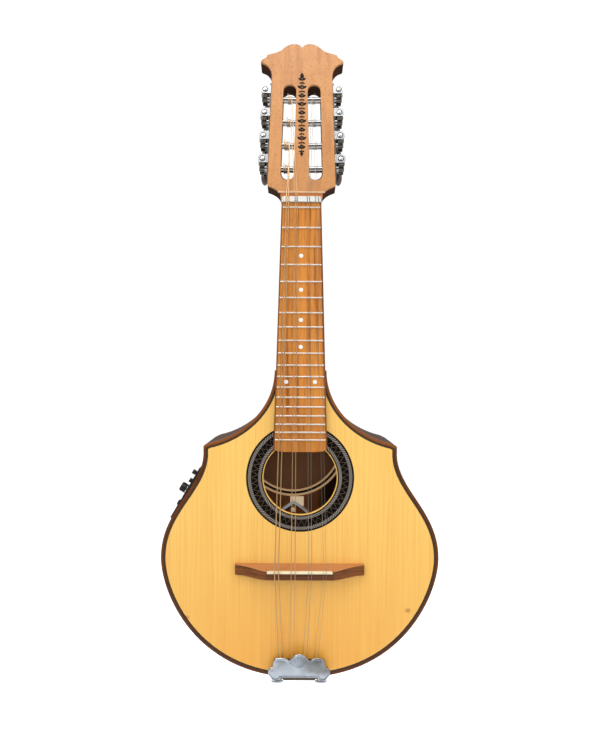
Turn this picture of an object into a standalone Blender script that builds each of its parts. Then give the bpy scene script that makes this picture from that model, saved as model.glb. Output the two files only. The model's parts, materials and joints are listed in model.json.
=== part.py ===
# Acoustic-electric mandolin: flat top, pointed shoulders, slotted headstock, eight strings.
#
# Frame: metres, +Z up along the neck. The front looks towards -Y and the bass side is at -X.
# The origin is on the centre line under the nut. The plane y = 0 is the outer face of the soundboard.

import math

import bmesh
import bpy
from mathutils import Matrix, Vector

for leftover in list(bpy.data.objects):
    bpy.data.objects.remove(leftover, do_unlink=True)

# Fits between pieces
GLUE_GAP = 0.0003
RUNNING_GAP = 0.0003
# Cutting tools run this far past the face they enter
TOOL_REACH = 0.0040

# Strings and neck
SCALE_LENGTH = 0.350
COMPENSATION = 0.0036
ZERO_FRET_Z = -0.0078
FRET_COUNT = 18
FRET_WIDTH = 0.0022
FRET_HEIGHT = 0.0011
FRETBOARD_THICKNESS = 0.0057
FRETBOARD_END_Z = -0.2460
FRETBOARD_CORNER = 0.0050
NUT_HALF_WIDTH = 0.0193
FRETBOARD_END_HALF_WIDTH = 0.0262
NUT_THICKNESS = 0.0052
NUT_HEIGHT = 0.0082
NUT_SHOULDER = 0.0024
NUT_SLOT_FLOOR = 0.0070
NECK_DEPTH = 0.0145
NECK_DEPTH_AT_HEEL = 0.0175
HEEL_LENGTH = 0.0300
HEEL_CAP_HALF_WIDTH = 0.0110

# Body
NECK_JOINT_Z = -0.1660
NECK_JOINT_HALF_WIDTH = 0.0256
SHOULDER_HALF_WIDTH = 0.0955
SHOULDER_Z = -0.2412
WAIST_HALF_WIDTH = 0.0954
WAIST_Z = -0.2500
BOUT_HALF_WIDTH = 0.1370
BOUT_Z = -0.3510
TAIL_Z = -0.4693
BODY_DEPTH = 0.0780
TOP_THICKNESS = 0.0025
BACK_THICKNESS = 0.0025
RIB_THICKNESS = 0.0025
BINDING_WIDTH = 0.0026
BINDING_HEIGHT = 0.0050
LINING_WIDTH = 0.0060
LINING_HEIGHT = 0.0090

# Sound hole and rosette
HOLE_Z = -0.2720
HOLE_RADIUS = 0.0362
ROSETTE_INNER_RADIUS = 0.0374
ROSETTE_OUTER_RADIUS = 0.0532
ROSETTE_DEPTH = 0.0010

# Headstock, in its own frame: x across, n back from the veneer's face, s up along the face
HEAD_TILT = math.radians(8.0)
HEAD_START_Y = -0.0025
HEAD_START_Z = 0.0029
HEAD_THICKNESS = 0.0160
VENEER_THICKNESS = 0.0022
VENEER_START = 0.0059
FLARE_S = 0.0127
FLARE_HALF_WIDTH = 0.0336
SHOULDER_S = 0.1294
SHOULDER_HEAD_HALF_WIDTH = 0.0308
EAR_HALF_WIDTH = 0.0422
SLOT_WIDTH = 0.0130
SLOT_LOW_S = 0.0183
SLOT_HIGH_S = 0.1213
SLOT_LOW_X = 0.0144
SLOT_HIGH_X = 0.0121
SLOT_RAMP = 0.0090

# Machine heads, in a side frame: a outward from the headstock's side, n back, s along the side
TUNER_PITCH = 0.0250
FIRST_POST_S = 0.0330
TUNERS_PER_SIDE = 4
POST_DEPTH = 0.0056
POST_RADIUS = 0.0030
POST_INNER_END = -0.0280
PLATE_THICKNESS = 0.0012
PLATE_FRONT = 0.0022
PLATE_BACK = 0.0112
PLATE_MARGIN = 0.0080
LUG_THICKNESS = 0.0012
LUG_RADIUS = 0.0047
LUG_DROP = 0.0041
LUG_FLAT = 0.0018
LUG_FRONT = 0.0004
LUG_BACK = 0.0096
GEAR_TEETH = 14
WORM_PITCH = 0.00226
GEAR_PITCH_RADIUS = GEAR_TEETH * WORM_PITCH / math.tau
GEAR_FACE_WIDTH = 0.0046
TOOTH_ADDENDUM = 0.00060
TOOTH_DEDENDUM = 0.00085
WORM_PITCH_RADIUS = 0.0033
WORM_STANDOFF = 0.0060
SHAFT_RADIUS = 0.0015
FERRULE_RADIUS = 0.0031
FERRULE_END_N = 0.0205
FERRULE_TAPER = 0.9
FERRULE_LIP = 0.0012
KEY_STEP = 0.0001
BUTTON_HALF_HEIGHT = 0.0080
BUTTON_HALF_THICKNESS = 0.0040
BUTTON_CENTRE_N = 0.0385
BUTTON_LENGTH = 0.0135

# Bridge and saddle
BRIDGE_HALF_LENGTH = 0.0632
BRIDGE_CROWN_HALF_LENGTH = 0.0330
# The bridge stands under its saddle, and the saddle stands at the strings' far end
SADDLE_Z = ZERO_FRET_Z - SCALE_LENGTH - COMPENSATION
SADDLE_SETBACK = 0.0052
BRIDGE_HEAD_Z = SADDLE_Z + SADDLE_SETBACK
BRIDGE_HEIGHT = 0.0112
BRIDGE_WING_HEIGHT = 0.0042
BRIDGE_CROWN_DEPTH = 0.0136
BRIDGE_WING_DEPTH = 0.0105
BRIDGE_WING_LEAN = 0.0004
BRIDGE_CROWN_LEAN = 0.0040
BRIDGE_CROWN_FALL = 0.0008
BRIDGE_BEVEL = 0.0010
SADDLE_THICKNESS = 0.0022
SADDLE_HEIGHT = 0.0130
SADDLE_HALF_LENGTH = 0.0318
SADDLE_SLOT_DEPTH = 0.0040
PICKUP_RADIUS = 0.0100
PICKUP_THICKNESS = 0.0006

# Tailpiece
COVER_FRONT = 0.0096
COVER_SHEET = 0.0010
FLANGE_HEAD_Z = -0.4560
FLANGE_TAIL_Z = -0.4630
BASE_SHEET = 0.0012
BASE_HALF_WIDTH = 0.0270
BASE_HEAD_Z = -0.4500
BASE_END_REACH = 0.0180
BASE_END_HALF_WIDTH = 0.0170
HOOK_Z = -0.4570
HOOK_RADIUS = 0.0013
HOOK_HEIGHT = 0.0070
FOOT_RADIUS = 0.0017
FOOT_INNER_X = 0.0160
FOOT_OUTER_X = 0.0272
FOOT_Y = -0.0024
FOOT_DROP = 0.0018

# Preamplifier on the bass side, in a panel frame: p up along the rib, y back, q outward
PANEL_Z = -0.2925
PANEL_LENGTH = 0.0580
PANEL_FRONT_Y = 0.0160
PANEL_BACK_Y = 0.0600
PANEL_PROUD = 0.0024
PANEL_OVERLAP = 0.0025
HOUSING_DEPTH = 0.0210
TRAY_LENGTH = 0.0520
TRAY_WIDTH = 0.0293
TRAY_HEIGHT = 0.0203
TRAY_WALL = 0.0011
TRAY_FACE = 0.0030
SLEEVE_WALL = 0.0013
TRAY_P = -0.0099
TRAY_Y = 0.0454
BATTERY_SIZE = (0.0265, 0.0175, 0.0470)
KNOB_STEM_RADIUS = 0.0015
BUTTON_TRAVEL = 0.0012

# Strings, bass to treble: diameter, then the crossing points at nut, saddle and tailpiece
STRING_DIAMETERS = (0.00100, 0.00100, 0.00066, 0.00066, 0.00038, 0.00038, 0.00028, 0.00028)
STRING_NUT_X = (-0.0146, -0.0125, -0.0060, -0.0041, 0.0056, 0.0078, 0.0135, 0.0163)
STRING_SADDLE_X = (-0.0241, -0.0203, -0.0081, -0.0044, 0.0085, 0.0116, 0.0231, 0.0257)
STRING_TAIL_X = (-0.0196, -0.0158, -0.0094, -0.0056, 0.0030, 0.0068, 0.0136, 0.0174)
# Which post each string goes to, counted up from the nut, and where it meets the post
STRING_POST = (0, 1, 2, 3, 3, 2, 1, 0)
STRING_POST_X = (-0.0130, -0.0125, -0.0112, -0.0104, 0.0104, 0.0112, 0.0125, 0.0138)
STRING_TURNS = 3
WINDING_SPACING = 0.00055
WINDING_STEPS = 10
STRING_TAIL_LENGTH = 0.0045


# Finishes

def finish(name, colour, roughness, metallic=0.0):
    made = bpy.data.materials.new(name)
    made.use_nodes = True
    shader = made.node_tree.nodes["Principled BSDF"]
    shader.inputs["Base Color"].default_value = (*colour, 1.0)
    shader.inputs["Roughness"].default_value = roughness
    shader.inputs["Metallic"].default_value = metallic
    made.diffuse_color = (*colour, 1.0)
    return made


SPRUCE = finish("spruce", (0.86, 0.55, 0.22), 0.35)
WALNUT = finish("walnut", (0.16, 0.10, 0.06), 0.40)
CEDAR = finish("cedar", (0.55, 0.27, 0.11), 0.40)
VENEER = finish("veneer", (0.72, 0.40, 0.19), 0.40)
ROSEWOOD = finish("rosewood", (0.50, 0.22, 0.08), 0.45)
BRIDGE_WOOD = finish("bridge_wood", (0.28, 0.11, 0.04), 0.45)
BINDING = finish("binding", (0.20, 0.07, 0.03), 0.35)
LINING = finish("lining", (0.60, 0.42, 0.25), 0.60)
BRACE = finish("brace_spruce", (0.72, 0.55, 0.33), 0.60)
INLAY = finish("rosette_inlay", (0.05, 0.04, 0.03), 0.40)
BONE = finish("bone", (0.85, 0.82, 0.72), 0.40)
CHROME = finish("chrome", (0.75, 0.77, 0.80), 0.12, 1.0)
STEEL = finish("string_steel", (0.60, 0.60, 0.60), 0.25, 1.0)
BRONZE = finish("string_bronze", (0.70, 0.52, 0.30), 0.30, 1.0)
BLACK_PLASTIC = finish("black_plastic", (0.02, 0.02, 0.02), 0.35)
BATTERY_METAL = finish("battery_case", (0.15, 0.15, 0.16), 0.40, 0.6)
BRASS = finish("brass", (0.75, 0.60, 0.28), 0.30, 1.0)


# Modelling helpers

def add_object(name, bm, material, matrix=None, smooth_angle=None):
    bmesh.ops.recalc_face_normals(bm, faces=bm.faces)
    mesh = bpy.data.meshes.new(name)
    bm.to_mesh(mesh)
    bm.free()
    if smooth_angle is not None:
        mesh.shade_smooth()
        mesh.set_sharp_from_angle(angle=math.radians(smooth_angle))
    mesh.materials.append(material)
    made = bpy.data.objects.new(name, mesh)
    bpy.context.collection.objects.link(made)
    if matrix is not None:
        made.matrix_world = matrix
    return made


def loft(rings, bm=None):
    """Skin through rings of equal point count, closed by a flat cap at each end."""
    if bm is None:
        bm = bmesh.new()
    rows = [[bm.verts.new(point) for point in ring] for ring in rings]
    count = len(rows[0])
    for lower, upper in zip(rows, rows[1:]):
        for i in range(count):
            j = (i + 1) % count
            bm.faces.new((lower[i], lower[j], upper[j], upper[i]))
    bm.faces.new(rows[0])
    bm.faces.new(list(reversed(rows[-1])))
    return bm


def plate(outline, near, far, axis=1, bm=None):
    """A flat outline given thickness from near to far along an axis (0 = X, 1 = Y, 2 = Z)."""
    def at(level):
        ring = []
        for u, v in outline:
            point = [u, v]
            point.insert(axis, level)
            ring.append(Vector(point))
        return ring
    return loft([at(near), at(far)], bm)


def box(low, high, bm=None):
    x0, y0, z0 = low
    x1, y1, z1 = high
    return plate([(x0, y0), (x1, y0), (x1, y1), (x0, y1)], z0, z1, axis=2, bm=bm)


def turned(profile, sides=16, axis=2, centre=(0.0, 0.0, 0.0), bm=None):
    """A round solid: profile holds (distance along the axis, radius) pairs."""
    centre = Vector(centre)
    rings = []
    for along, radius in profile:
        ring = []
        for k in range(sides):
            angle = math.tau * k / sides
            point = [radius * math.cos(angle), radius * math.sin(angle)]
            point.insert(axis, along)
            ring.append(centre + Vector(point))
        rings.append(ring)
    return loft(rings, bm)


def bezier(p0, p1, p2, p3, steps, last=False):
    points = []
    for i in range(steps + (1 if last else 0)):
        t = i / steps
        u = 1.0 - t
        weights = (u ** 3, 3 * u * u * t, 3 * u * t * t, t ** 3)
        points.append(tuple(sum(w * p[k] for w, p in zip(weights, (p0, p1, p2, p3))) for k in (0, 1)))
    return points


def circle(centre, radius, sides):
    angles = [math.tau * k / sides for k in range(sides)]
    return [(centre[0] + radius * math.cos(a), centre[1] + radius * math.sin(a)) for a in angles]


def mirrored(half):
    """A closed outline from its right half, whose ends lie on the centre line or beside it."""
    left = [(-u, v) for u, v in reversed(half) if u > 1e-6]
    return list(half) + left


def hide_tool(tool):
    tool.hide_render = True
    tool.display_type = "WIRE"


def boolean(target, tool, operation="DIFFERENCE"):
    modifier = target.modifiers.new(tool.name, "BOOLEAN")
    modifier.operation = operation
    modifier.solver = "EXACT"
    modifier.object = tool
    hide_tool(tool)


def tool_object(name, bm, matrix=None):
    return add_object("tool_" + name, bm, BLACK_PLASTIC, matrix)


def place_copy(name, mesh, matrix):
    made = bpy.data.objects.new(name, mesh)
    bpy.context.collection.objects.link(made)
    made.matrix_world = matrix
    return made


def wire(name, points, radius, material, resolution=1):
    curve = bpy.data.curves.new(name, "CURVE")
    curve.dimensions = "3D"
    curve.bevel_depth = radius
    curve.bevel_resolution = resolution
    curve.use_fill_caps = True
    spline = curve.splines.new("POLY")
    spline.points.add(len(points) - 1)
    for target, point in zip(spline.points, points):
        target.co = (*point, 1.0)
    curve.materials.append(material)
    made = bpy.data.objects.new(name, curve)
    bpy.context.collection.objects.link(made)
    return made


# Body outline

SHOULDER_STEPS = 7
FLANK_STEPS = 7
BOTTOM_STEPS = 9
HOLE_STEPS = 36
BODY_START_Z = NECK_JOINT_Z - GLUE_GAP

def half_outline():
    """Right half of the body as (x, z), from the neck joint round to the tail's centre."""
    shoulder = bezier((NECK_JOINT_HALF_WIDTH, BODY_START_Z),
                      (NECK_JOINT_HALF_WIDTH, BODY_START_Z - 0.037),
                      (0.0560, SHOULDER_Z + 0.0102),
                      (SHOULDER_HALF_WIDTH - 0.0060, SHOULDER_Z + 0.0028), SHOULDER_STEPS)
    tip = [(SHOULDER_HALF_WIDTH - 0.0060, SHOULDER_Z + 0.0028), (SHOULDER_HALF_WIDTH, SHOULDER_Z)]
    flank = bezier((WAIST_HALF_WIDTH, WAIST_Z), (WAIST_HALF_WIDTH + 0.0016, WAIST_Z - 0.034),
                   (BOUT_HALF_WIDTH, BOUT_Z + 0.046), (BOUT_HALF_WIDTH, BOUT_Z), FLANK_STEPS)
    bottom = bezier((BOUT_HALF_WIDTH, BOUT_Z), (BOUT_HALF_WIDTH, BOUT_Z - 0.036),
                    (0.1020, TAIL_Z), (0.0, TAIL_Z), BOTTOM_STEPS, last=True)
    return shoulder + tip + flank + bottom


def inset(points, distance):
    """The open half outline moved inwards by a distance, kept on the neck joint and centre line."""
    moved = []
    last = len(points) - 1
    for i, (x, z) in enumerate(points):
        before = Vector(points[max(i - 1, 0)])
        here = Vector((x, z))
        after = Vector(points[min(i + 1, last)])
        if i == 0:
            moved.append((x - distance, z))
            continue
        if i == last:
            moved.append((0.0, z + distance))
            continue
        along_in = (here - before).normalized()
        along_out = (after - here).normalized()
        normal_in = Vector((along_in.y, -along_in.x))
        normal_out = Vector((along_out.y, -along_out.x))
        middle = (normal_in + normal_out).normalized()
        shift = middle * (distance / max(middle.dot(normal_in), 0.5))
        moved.append((x + shift.x, z + shift.y))
    return moved


HALF_OUTLINE = half_outline()


def closed_outline(distance):
    return mirrored(inset(HALF_OUTLINE, distance))


def strip(outer, inner, near, far, bm=None):
    """A band between two open outlines, from near to far along Y."""
    rings = []
    for (x0, z0), (x1, z1) in zip(outer, inner):
        rings.append([Vector((x0, near, z0)), Vector((x1, near, z1)),
                      Vector((x1, far, z1)), Vector((x0, far, z0))])
    return loft(rings, bm)


def whole(half):
    """An open outline that runs from the neck's right side round the tail to its left side."""
    return list(half) + [(-x, z) for x, z in reversed(half[:-1])]


def half_width_at(z, distance=0.0):
    """Half width of the body at a height, on the outline moved in by a distance."""
    points = inset(HALF_OUTLINE, distance)
    widest = 0.0
    for (x0, z0), (x1, z1) in zip(points, points[1:]):
        if min(z0, z1) <= z <= max(z0, z1) and abs(z1 - z0) > 1e-9:
            widest = max(widest, x0 + (x1 - x0) * (z - z0) / (z1 - z0))
    return widest


# Body pieces

BACK_INNER_Y = BODY_DEPTH - BACK_THICKNESS
EDGE_INSET = BINDING_WIDTH + GLUE_GAP
LINING_INSET = max(RIB_THICKNESS, BINDING_WIDTH) + GLUE_GAP


def make_soundboard():
    outline = closed_outline(EDGE_INSET)
    board = add_object("soundboard", plate(outline, 0.0, TOP_THICKNESS), SPRUCE)
    hole = turned([(-0.005, HOLE_RADIUS), (0.010, HOLE_RADIUS)], HOLE_STEPS, 1, (0.0, 0.0, HOLE_Z))
    boolean(board, tool_object("sound_hole", hole))
    outer = circle((0.0, HOLE_Z), ROSETTE_OUTER_RADIUS + GLUE_GAP, HOLE_STEPS)
    inner = circle((0.0, HOLE_Z), ROSETTE_INNER_RADIUS - GLUE_GAP, HOLE_STEPS)
    channel = ring_solid(outer, inner, -0.002, ROSETTE_DEPTH + GLUE_GAP)
    boolean(board, tool_object("rosette_channel", channel))
    return board


def ring_solid(outer, inner, near, far):
    """A flat ring between two closed outlines of equal count, from near to far along Y."""
    bm = bmesh.new()
    count = len(outer)
    rows = []
    for outline, level in ((outer, near), (outer, far), (inner, far), (inner, near)):
        rows.append([bm.verts.new((x, level, z)) for x, z in outline])
    for first, second in zip(rows, rows[1:] + rows[:1]):
        for i in range(count):
            j = (i + 1) % count
            bm.faces.new((first[i], first[j], second[j], second[i]))
    return bm


def make_rosette():
    outer = circle((0.0, HOLE_Z), ROSETTE_OUTER_RADIUS, HOLE_STEPS)
    inner = circle((0.0, HOLE_Z), ROSETTE_INNER_RADIUS, HOLE_STEPS)
    add_object("rosette", ring_solid(outer, inner, 0.0, ROSETTE_DEPTH), INLAY)


def make_back():
    outline = closed_outline(EDGE_INSET)
    add_object("back_plate", plate(outline, BACK_INNER_Y, BODY_DEPTH), WALNUT)


def make_rim():
    outer = inset(HALF_OUTLINE, 0.0)
    inner = inset(HALF_OUTLINE, RIB_THICKNESS)
    near = BINDING_HEIGHT + GLUE_GAP
    far = BODY_DEPTH - BINDING_HEIGHT - GLUE_GAP
    # The ribs meet at the tail with a hair's gap on the centre line
    outer_end = (GLUE_GAP / 2, outer[-1][1])
    inner_end = (GLUE_GAP / 2, inner[-1][1])
    outer[-1] = outer_end
    inner[-1] = inner_end
    treble = add_object("rib_treble", strip(outer, inner, near, far), WALNUT)
    flip_outer = [(-x, z) for x, z in outer]
    flip_inner = [(-x, z) for x, z in inner]
    bass = add_object("rib_bass", strip(flip_outer, flip_inner, near, far), WALNUT)
    for name, low, high in (("binding_top", 0.0, BINDING_HEIGHT),
                            ("binding_back", BODY_DEPTH - BINDING_HEIGHT, BODY_DEPTH)):
        band = strip(whole(inset(HALF_OUTLINE, 0.0)), whole(inset(HALF_OUTLINE, BINDING_WIDTH)), low, high)
        add_object(name, band, BINDING)
    return bass, treble


# The linings stop at the neck block, so they start a block's length down the outline
NECK_BLOCK_LENGTH = 0.0340
NECK_BLOCK_HALF_WIDTH = NECK_JOINT_HALF_WIDTH - LINING_INSET
TAIL_BLOCK_HALF_WIDTH = 0.0320
TAIL_BLOCK_THICKNESS = 0.0180


def lining_path(distance):
    points = inset(HALF_OUTLINE, distance)
    guide = inset(HALF_OUTLINE, LINING_INSET + LINING_WIDTH)
    stop = NECK_JOINT_Z - NECK_BLOCK_LENGTH
    return whole([point for point, mark in zip(points, guide) if mark[1] < stop])


def make_linings():
    bands = (("lining_top", TOP_THICKNESS + GLUE_GAP, TOP_THICKNESS + GLUE_GAP + LINING_HEIGHT),
             ("lining_back", BACK_INNER_Y - GLUE_GAP - LINING_HEIGHT, BACK_INNER_Y - GLUE_GAP))
    for name, near, far in bands:
        outer = lining_path(LINING_INSET)
        inner = lining_path(LINING_INSET + LINING_WIDTH)
        add_object(name, strip(outer, inner, near, far), LINING)


def make_blocks():
    neck_block = box((-NECK_BLOCK_HALF_WIDTH, TOP_THICKNESS + GLUE_GAP, NECK_JOINT_Z - NECK_BLOCK_LENGTH),
                     (NECK_BLOCK_HALF_WIDTH, BACK_INNER_Y - GLUE_GAP, BODY_START_Z))
    add_object("neck_block", neck_block, CEDAR)
    near = TOP_THICKNESS + LINING_HEIGHT + 2 * GLUE_GAP
    far = BACK_INNER_Y - LINING_HEIGHT - 2 * GLUE_GAP
    arc = [point for point in whole(inset(HALF_OUTLINE, LINING_INSET)) if point[1] < BOUT_Z]
    arc = [point for point in arc if abs(point[0]) < TAIL_BLOCK_HALF_WIDTH]
    top = TAIL_Z + LINING_INSET + TAIL_BLOCK_THICKNESS
    outline = [(arc[0][0], top)] + arc + [(arc[-1][0], top)]
    return add_object("tail_block", plate(outline, near, far), CEDAR)


BRACE_WIDTH = 0.0070
BRACE_HEIGHT = 0.0110
BRACE_END_HEIGHT = 0.0035


def make_brace(name, z, seat, inward):
    """A bar glued across a plate: seat is the plate's inner face, inward is +1 or -1 along Y."""
    lining = LINING_INSET + LINING_WIDTH + GLUE_GAP
    reach = min(half_width_at(z + side * BRACE_WIDTH / 2, lining) for side in (-1, 0, 1))
    near = seat + inward * GLUE_GAP
    profile = [(-reach, near), (reach, near), (reach, near + inward * BRACE_END_HEIGHT),
               (reach * 0.78, near + inward * BRACE_HEIGHT), (-reach * 0.78, near + inward * BRACE_HEIGHT),
               (-reach, near + inward * BRACE_END_HEIGHT)]
    add_object(name, plate(profile, z - BRACE_WIDTH / 2, z + BRACE_WIDTH / 2, axis=2), BRACE)


# Neck

def fretboard_half_width(z):
    share = (z - 0.0) / (FRETBOARD_END_Z - 0.0)
    return NUT_HALF_WIDTH + (FRETBOARD_END_HALF_WIDTH - NUT_HALF_WIDTH) * share


def fret_z(number):
    return ZERO_FRET_Z - SCALE_LENGTH * (1.0 - 2.0 ** (-number / 12.0))


def make_fretboard():
    top = -(GLUE_GAP + FRETBOARD_THICKNESS)
    start = -(NUT_THICKNESS / 2 + GLUE_GAP)
    profile = [(-GLUE_GAP, start), (top, start)]
    for number in range(FRET_COUNT + 1):
        z = fret_z(number)
        for share, rise in ((0.5, 0.0), (0.3, 0.75), (0.0, 1.0), (-0.3, 0.75), (-0.5, 0.0)):
            profile.append((top - rise * FRET_HEIGHT, z + share * FRET_WIDTH))
    end = FRETBOARD_END_Z
    profile += [(top, end - FRETBOARD_CORNER / 5), (-GLUE_GAP, end - FRETBOARD_CORNER / 5)]
    sides = []
    for side in (-1.0, 1.0):
        sides.append([Vector((side * fretboard_half_width(z), y, z)) for y, z in profile])
    board = add_object("fretboard", loft(sides), ROSEWOOD)
    # Trim the end to a shallow curve with rounded corners
    half = fretboard_half_width(end)
    corner = end + FRETBOARD_CORNER
    curve = bezier((half, corner), (half, end), (half - FRETBOARD_CORNER, end), (0.0, end), 5, last=True)
    beyond = half + FRETBOARD_CORNER
    trim = mirrored([(beyond, corner)] + curve)
    trim += [(-beyond, end - FRETBOARD_CORNER), (beyond, end - FRETBOARD_CORNER)]
    boolean(board, tool_object("fretboard_end", plate(trim, top - TOOL_REACH, TOOL_REACH)))


def make_nut():
    half = NUT_HALF_WIDTH
    shoulder = NUT_SHOULDER
    outline = [(-half, -GLUE_GAP), (-half, -NUT_HEIGHT + shoulder), (-half + shoulder, -NUT_HEIGHT)]
    for x, diameter in zip(STRING_NUT_X, STRING_DIAMETERS):
        reach = diameter / 2 + RUNNING_GAP
        outline += [(x - reach, -NUT_HEIGHT), (x - reach, -NUT_SLOT_FLOOR),
                    (x + reach, -NUT_SLOT_FLOOR), (x + reach, -NUT_HEIGHT)]
    outline += [(half - shoulder, -NUT_HEIGHT), (half, -NUT_HEIGHT + shoulder), (half, -GLUE_GAP)]
    add_object("nut", plate(outline, -NUT_THICKNESS / 2, NUT_THICKNESS / 2, axis=2), BONE)


HEAD_FRAME = (Matrix.Translation((0.0, HEAD_START_Y, HEAD_START_Z))
              @ Matrix.Rotation(-HEAD_TILT, 4, "X"))
WOOD_FRONT = VENEER_THICKNESS + GLUE_GAP
# The headstock widens from the neck along this curve, given as (x, s)
FLARE_CURVE = ((0.0198, 0.0), (0.0215, 0.0075), (0.0265, 0.0100), (FLARE_HALF_WIDTH, FLARE_S))


def head_outline(start):
    """Headstock outline as (x, s), from a start height up to the notch at the top."""
    flare = bezier(*FLARE_CURVE, 5)
    flare = [point for point in flare if point[1] > start]
    foot = [(flare_half_width(start), start)]
    side = [(FLARE_HALF_WIDTH, FLARE_S)]
    neck = bezier((SHOULDER_HEAD_HALF_WIDTH, SHOULDER_S), (0.0308, 0.1390), (0.0352, 0.1445),
                  (EAR_HALF_WIDTH, 0.1456), 4)
    ear = bezier((EAR_HALF_WIDTH, 0.1466), (0.0410, 0.1510), (0.0364, 0.1495), (0.0355, 0.1545), 3)
    slope = bezier((0.0355, 0.1545), (0.0310, 0.1565), (0.0262, 0.1560), (0.0205, 0.1605), 3)
    bump = bezier((0.0205, 0.1605), (0.0140, 0.1682), (0.0035, 0.1692), (0.0, 0.1628), 5, last=True)
    return foot + flare + side + neck + ear + slope + bump


def flare_half_width(s):
    points = bezier(*FLARE_CURVE, 5, True)
    for (x0, s0), (x1, s1) in zip(points, points[1:]):
        if s0 <= s <= s1:
            return x0 + (x1 - x0) * (s - s0) / (s1 - s0)
    return points[-1][0]


def slot_ring(side, n, low, high):
    """Outline of one slot at a depth: a round-ended channel that leans in towards the top."""
    radius = SLOT_WIDTH / 2
    ring = []
    for k in range(6):
        angle = math.pi * k / 5
        ring.append((slot_centre(high) + radius * math.cos(angle), high - radius + radius * math.sin(angle)))
    for k in range(6):
        angle = math.pi + math.pi * k / 5
        ring.append((slot_centre(low) + radius * math.cos(angle), low + radius + radius * math.sin(angle)))
    return [Vector((side * x, n, s)) for x, s in ring]


def slot_centre(s):
    share = (s - SLOT_LOW_S) / (SLOT_HIGH_S - SLOT_LOW_S)
    return SLOT_LOW_X + (SLOT_HIGH_X - SLOT_LOW_X) * share


def slot_tool(name, side):
    """The slot's cutter. Its lower end runs back up the headstock, so that the strings clear it."""
    slope = SLOT_RAMP / HEAD_THICKNESS
    near = -0.004
    far = HEAD_THICKNESS + 0.004
    rings = [slot_ring(side, near, SLOT_LOW_S + slope * near, SLOT_HIGH_S),
             slot_ring(side, far, SLOT_LOW_S + slope * far, SLOT_HIGH_S)]
    return tool_object(name, loft(rings), HEAD_FRAME)


def neck_ring(z, half_width, depth, front=0.0, squareness=2.0, steps=8):
    """A flat-topped neck section: half a superellipse hung under the fretboard's plane."""
    ring = []
    for k in range(steps + 1):
        angle = math.pi * k / steps
        cx = math.copysign(abs(math.cos(angle)) ** (2.0 / squareness), math.cos(angle))
        sy = math.sin(angle) ** (2.0 / squareness)
        ring.append(Vector((half_width * cx, front + depth * sy, z)))
    return ring


def make_neck():
    heel_top = NECK_JOINT_Z + HEEL_LENGTH
    rings = []
    shaft_top = -0.004
    for k in range(3):
        z = shaft_top + (heel_top - shaft_top) * k / 2
        depth = NECK_DEPTH + (NECK_DEPTH_AT_HEEL - NECK_DEPTH) * k / 2
        rings.append(neck_ring(z, fretboard_half_width(z), depth, squareness=2.3))
    heel_depth = BODY_DEPTH - GLUE_GAP
    for k in range(1, 6):
        share = k / 5
        z = heel_top - HEEL_LENGTH * share ** 0.75
        depth = NECK_DEPTH_AT_HEEL + (heel_depth - NECK_DEPTH_AT_HEEL) * share ** 2.6
        rings.append(heel_ring(z, fretboard_half_width(z), depth, share))
    rings.reverse()
    # The top end turns into the headstock: two more sections that lean back with it
    for lift, deeper in ((0.004, 0.0), (0.016, 0.0022)):
        front = (lift - HEAD_START_Z) * math.tan(HEAD_TILT) if lift > HEAD_START_Z else 0.0
        rings.append(neck_ring(lift, NUT_HALF_WIDTH, NECK_DEPTH - deeper, front + 0.0006, squareness=2.6))
    neck = add_object("neck", loft(rings), CEDAR)
    head = plate(mirrored(head_outline(0.0)), WOOD_FRONT, HEAD_THICKNESS)
    boolean(neck, tool_object("headstock_block", head, HEAD_FRAME), "UNION")
    return neck


def heel_ring(z, half_width, depth, share):
    """A heel section: as wide as the neck in front, narrowing to the heel cap at the back."""
    ring = []
    steps = 8
    for k in range(steps + 1):
        angle = math.pi * k / steps
        side = math.cos(angle)
        drop = math.sin(angle)
        narrow = half_width + (HEEL_CAP_HALF_WIDTH - half_width) * share * drop ** 1.5
        ring.append(Vector((math.copysign(abs(side) ** 0.8, side) * narrow, depth * drop ** 0.85, z)))
    return ring


def make_veneer():
    return add_object("headstock_veneer", plate(mirrored(head_outline(VENEER_START)), 0.0, VENEER_THICKNESS),
                      VENEER, HEAD_FRAME)


# Machine heads

KEY_SIDES = 8
BORE_SIDES = 8
BORE_RADIUS = (POST_RADIUS + RUNNING_GAP) / math.cos(math.pi / BORE_SIDES)
SIDE_TAPER = math.atan2(FLARE_HALF_WIDTH - SHOULDER_HEAD_HALF_WIDTH, SHOULDER_S - FLARE_S)
SIDE_START_X = FLARE_HALF_WIDTH + FLARE_S * math.tan(SIDE_TAPER)
WORM_OFFSET = GEAR_PITCH_RADIUS + WORM_PITCH_RADIUS


def side_frame(side):
    """Frame of the headstock's side: outward is +X on the treble side and -X on the bass side."""
    return (HEAD_FRAME @ Matrix.Translation((side * SIDE_START_X, 0.0, 0.0))
            @ Matrix.Rotation(-side * SIDE_TAPER, 4, "Y"))


def post_s(k):
    return FIRST_POST_S + TUNER_PITCH * k


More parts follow.
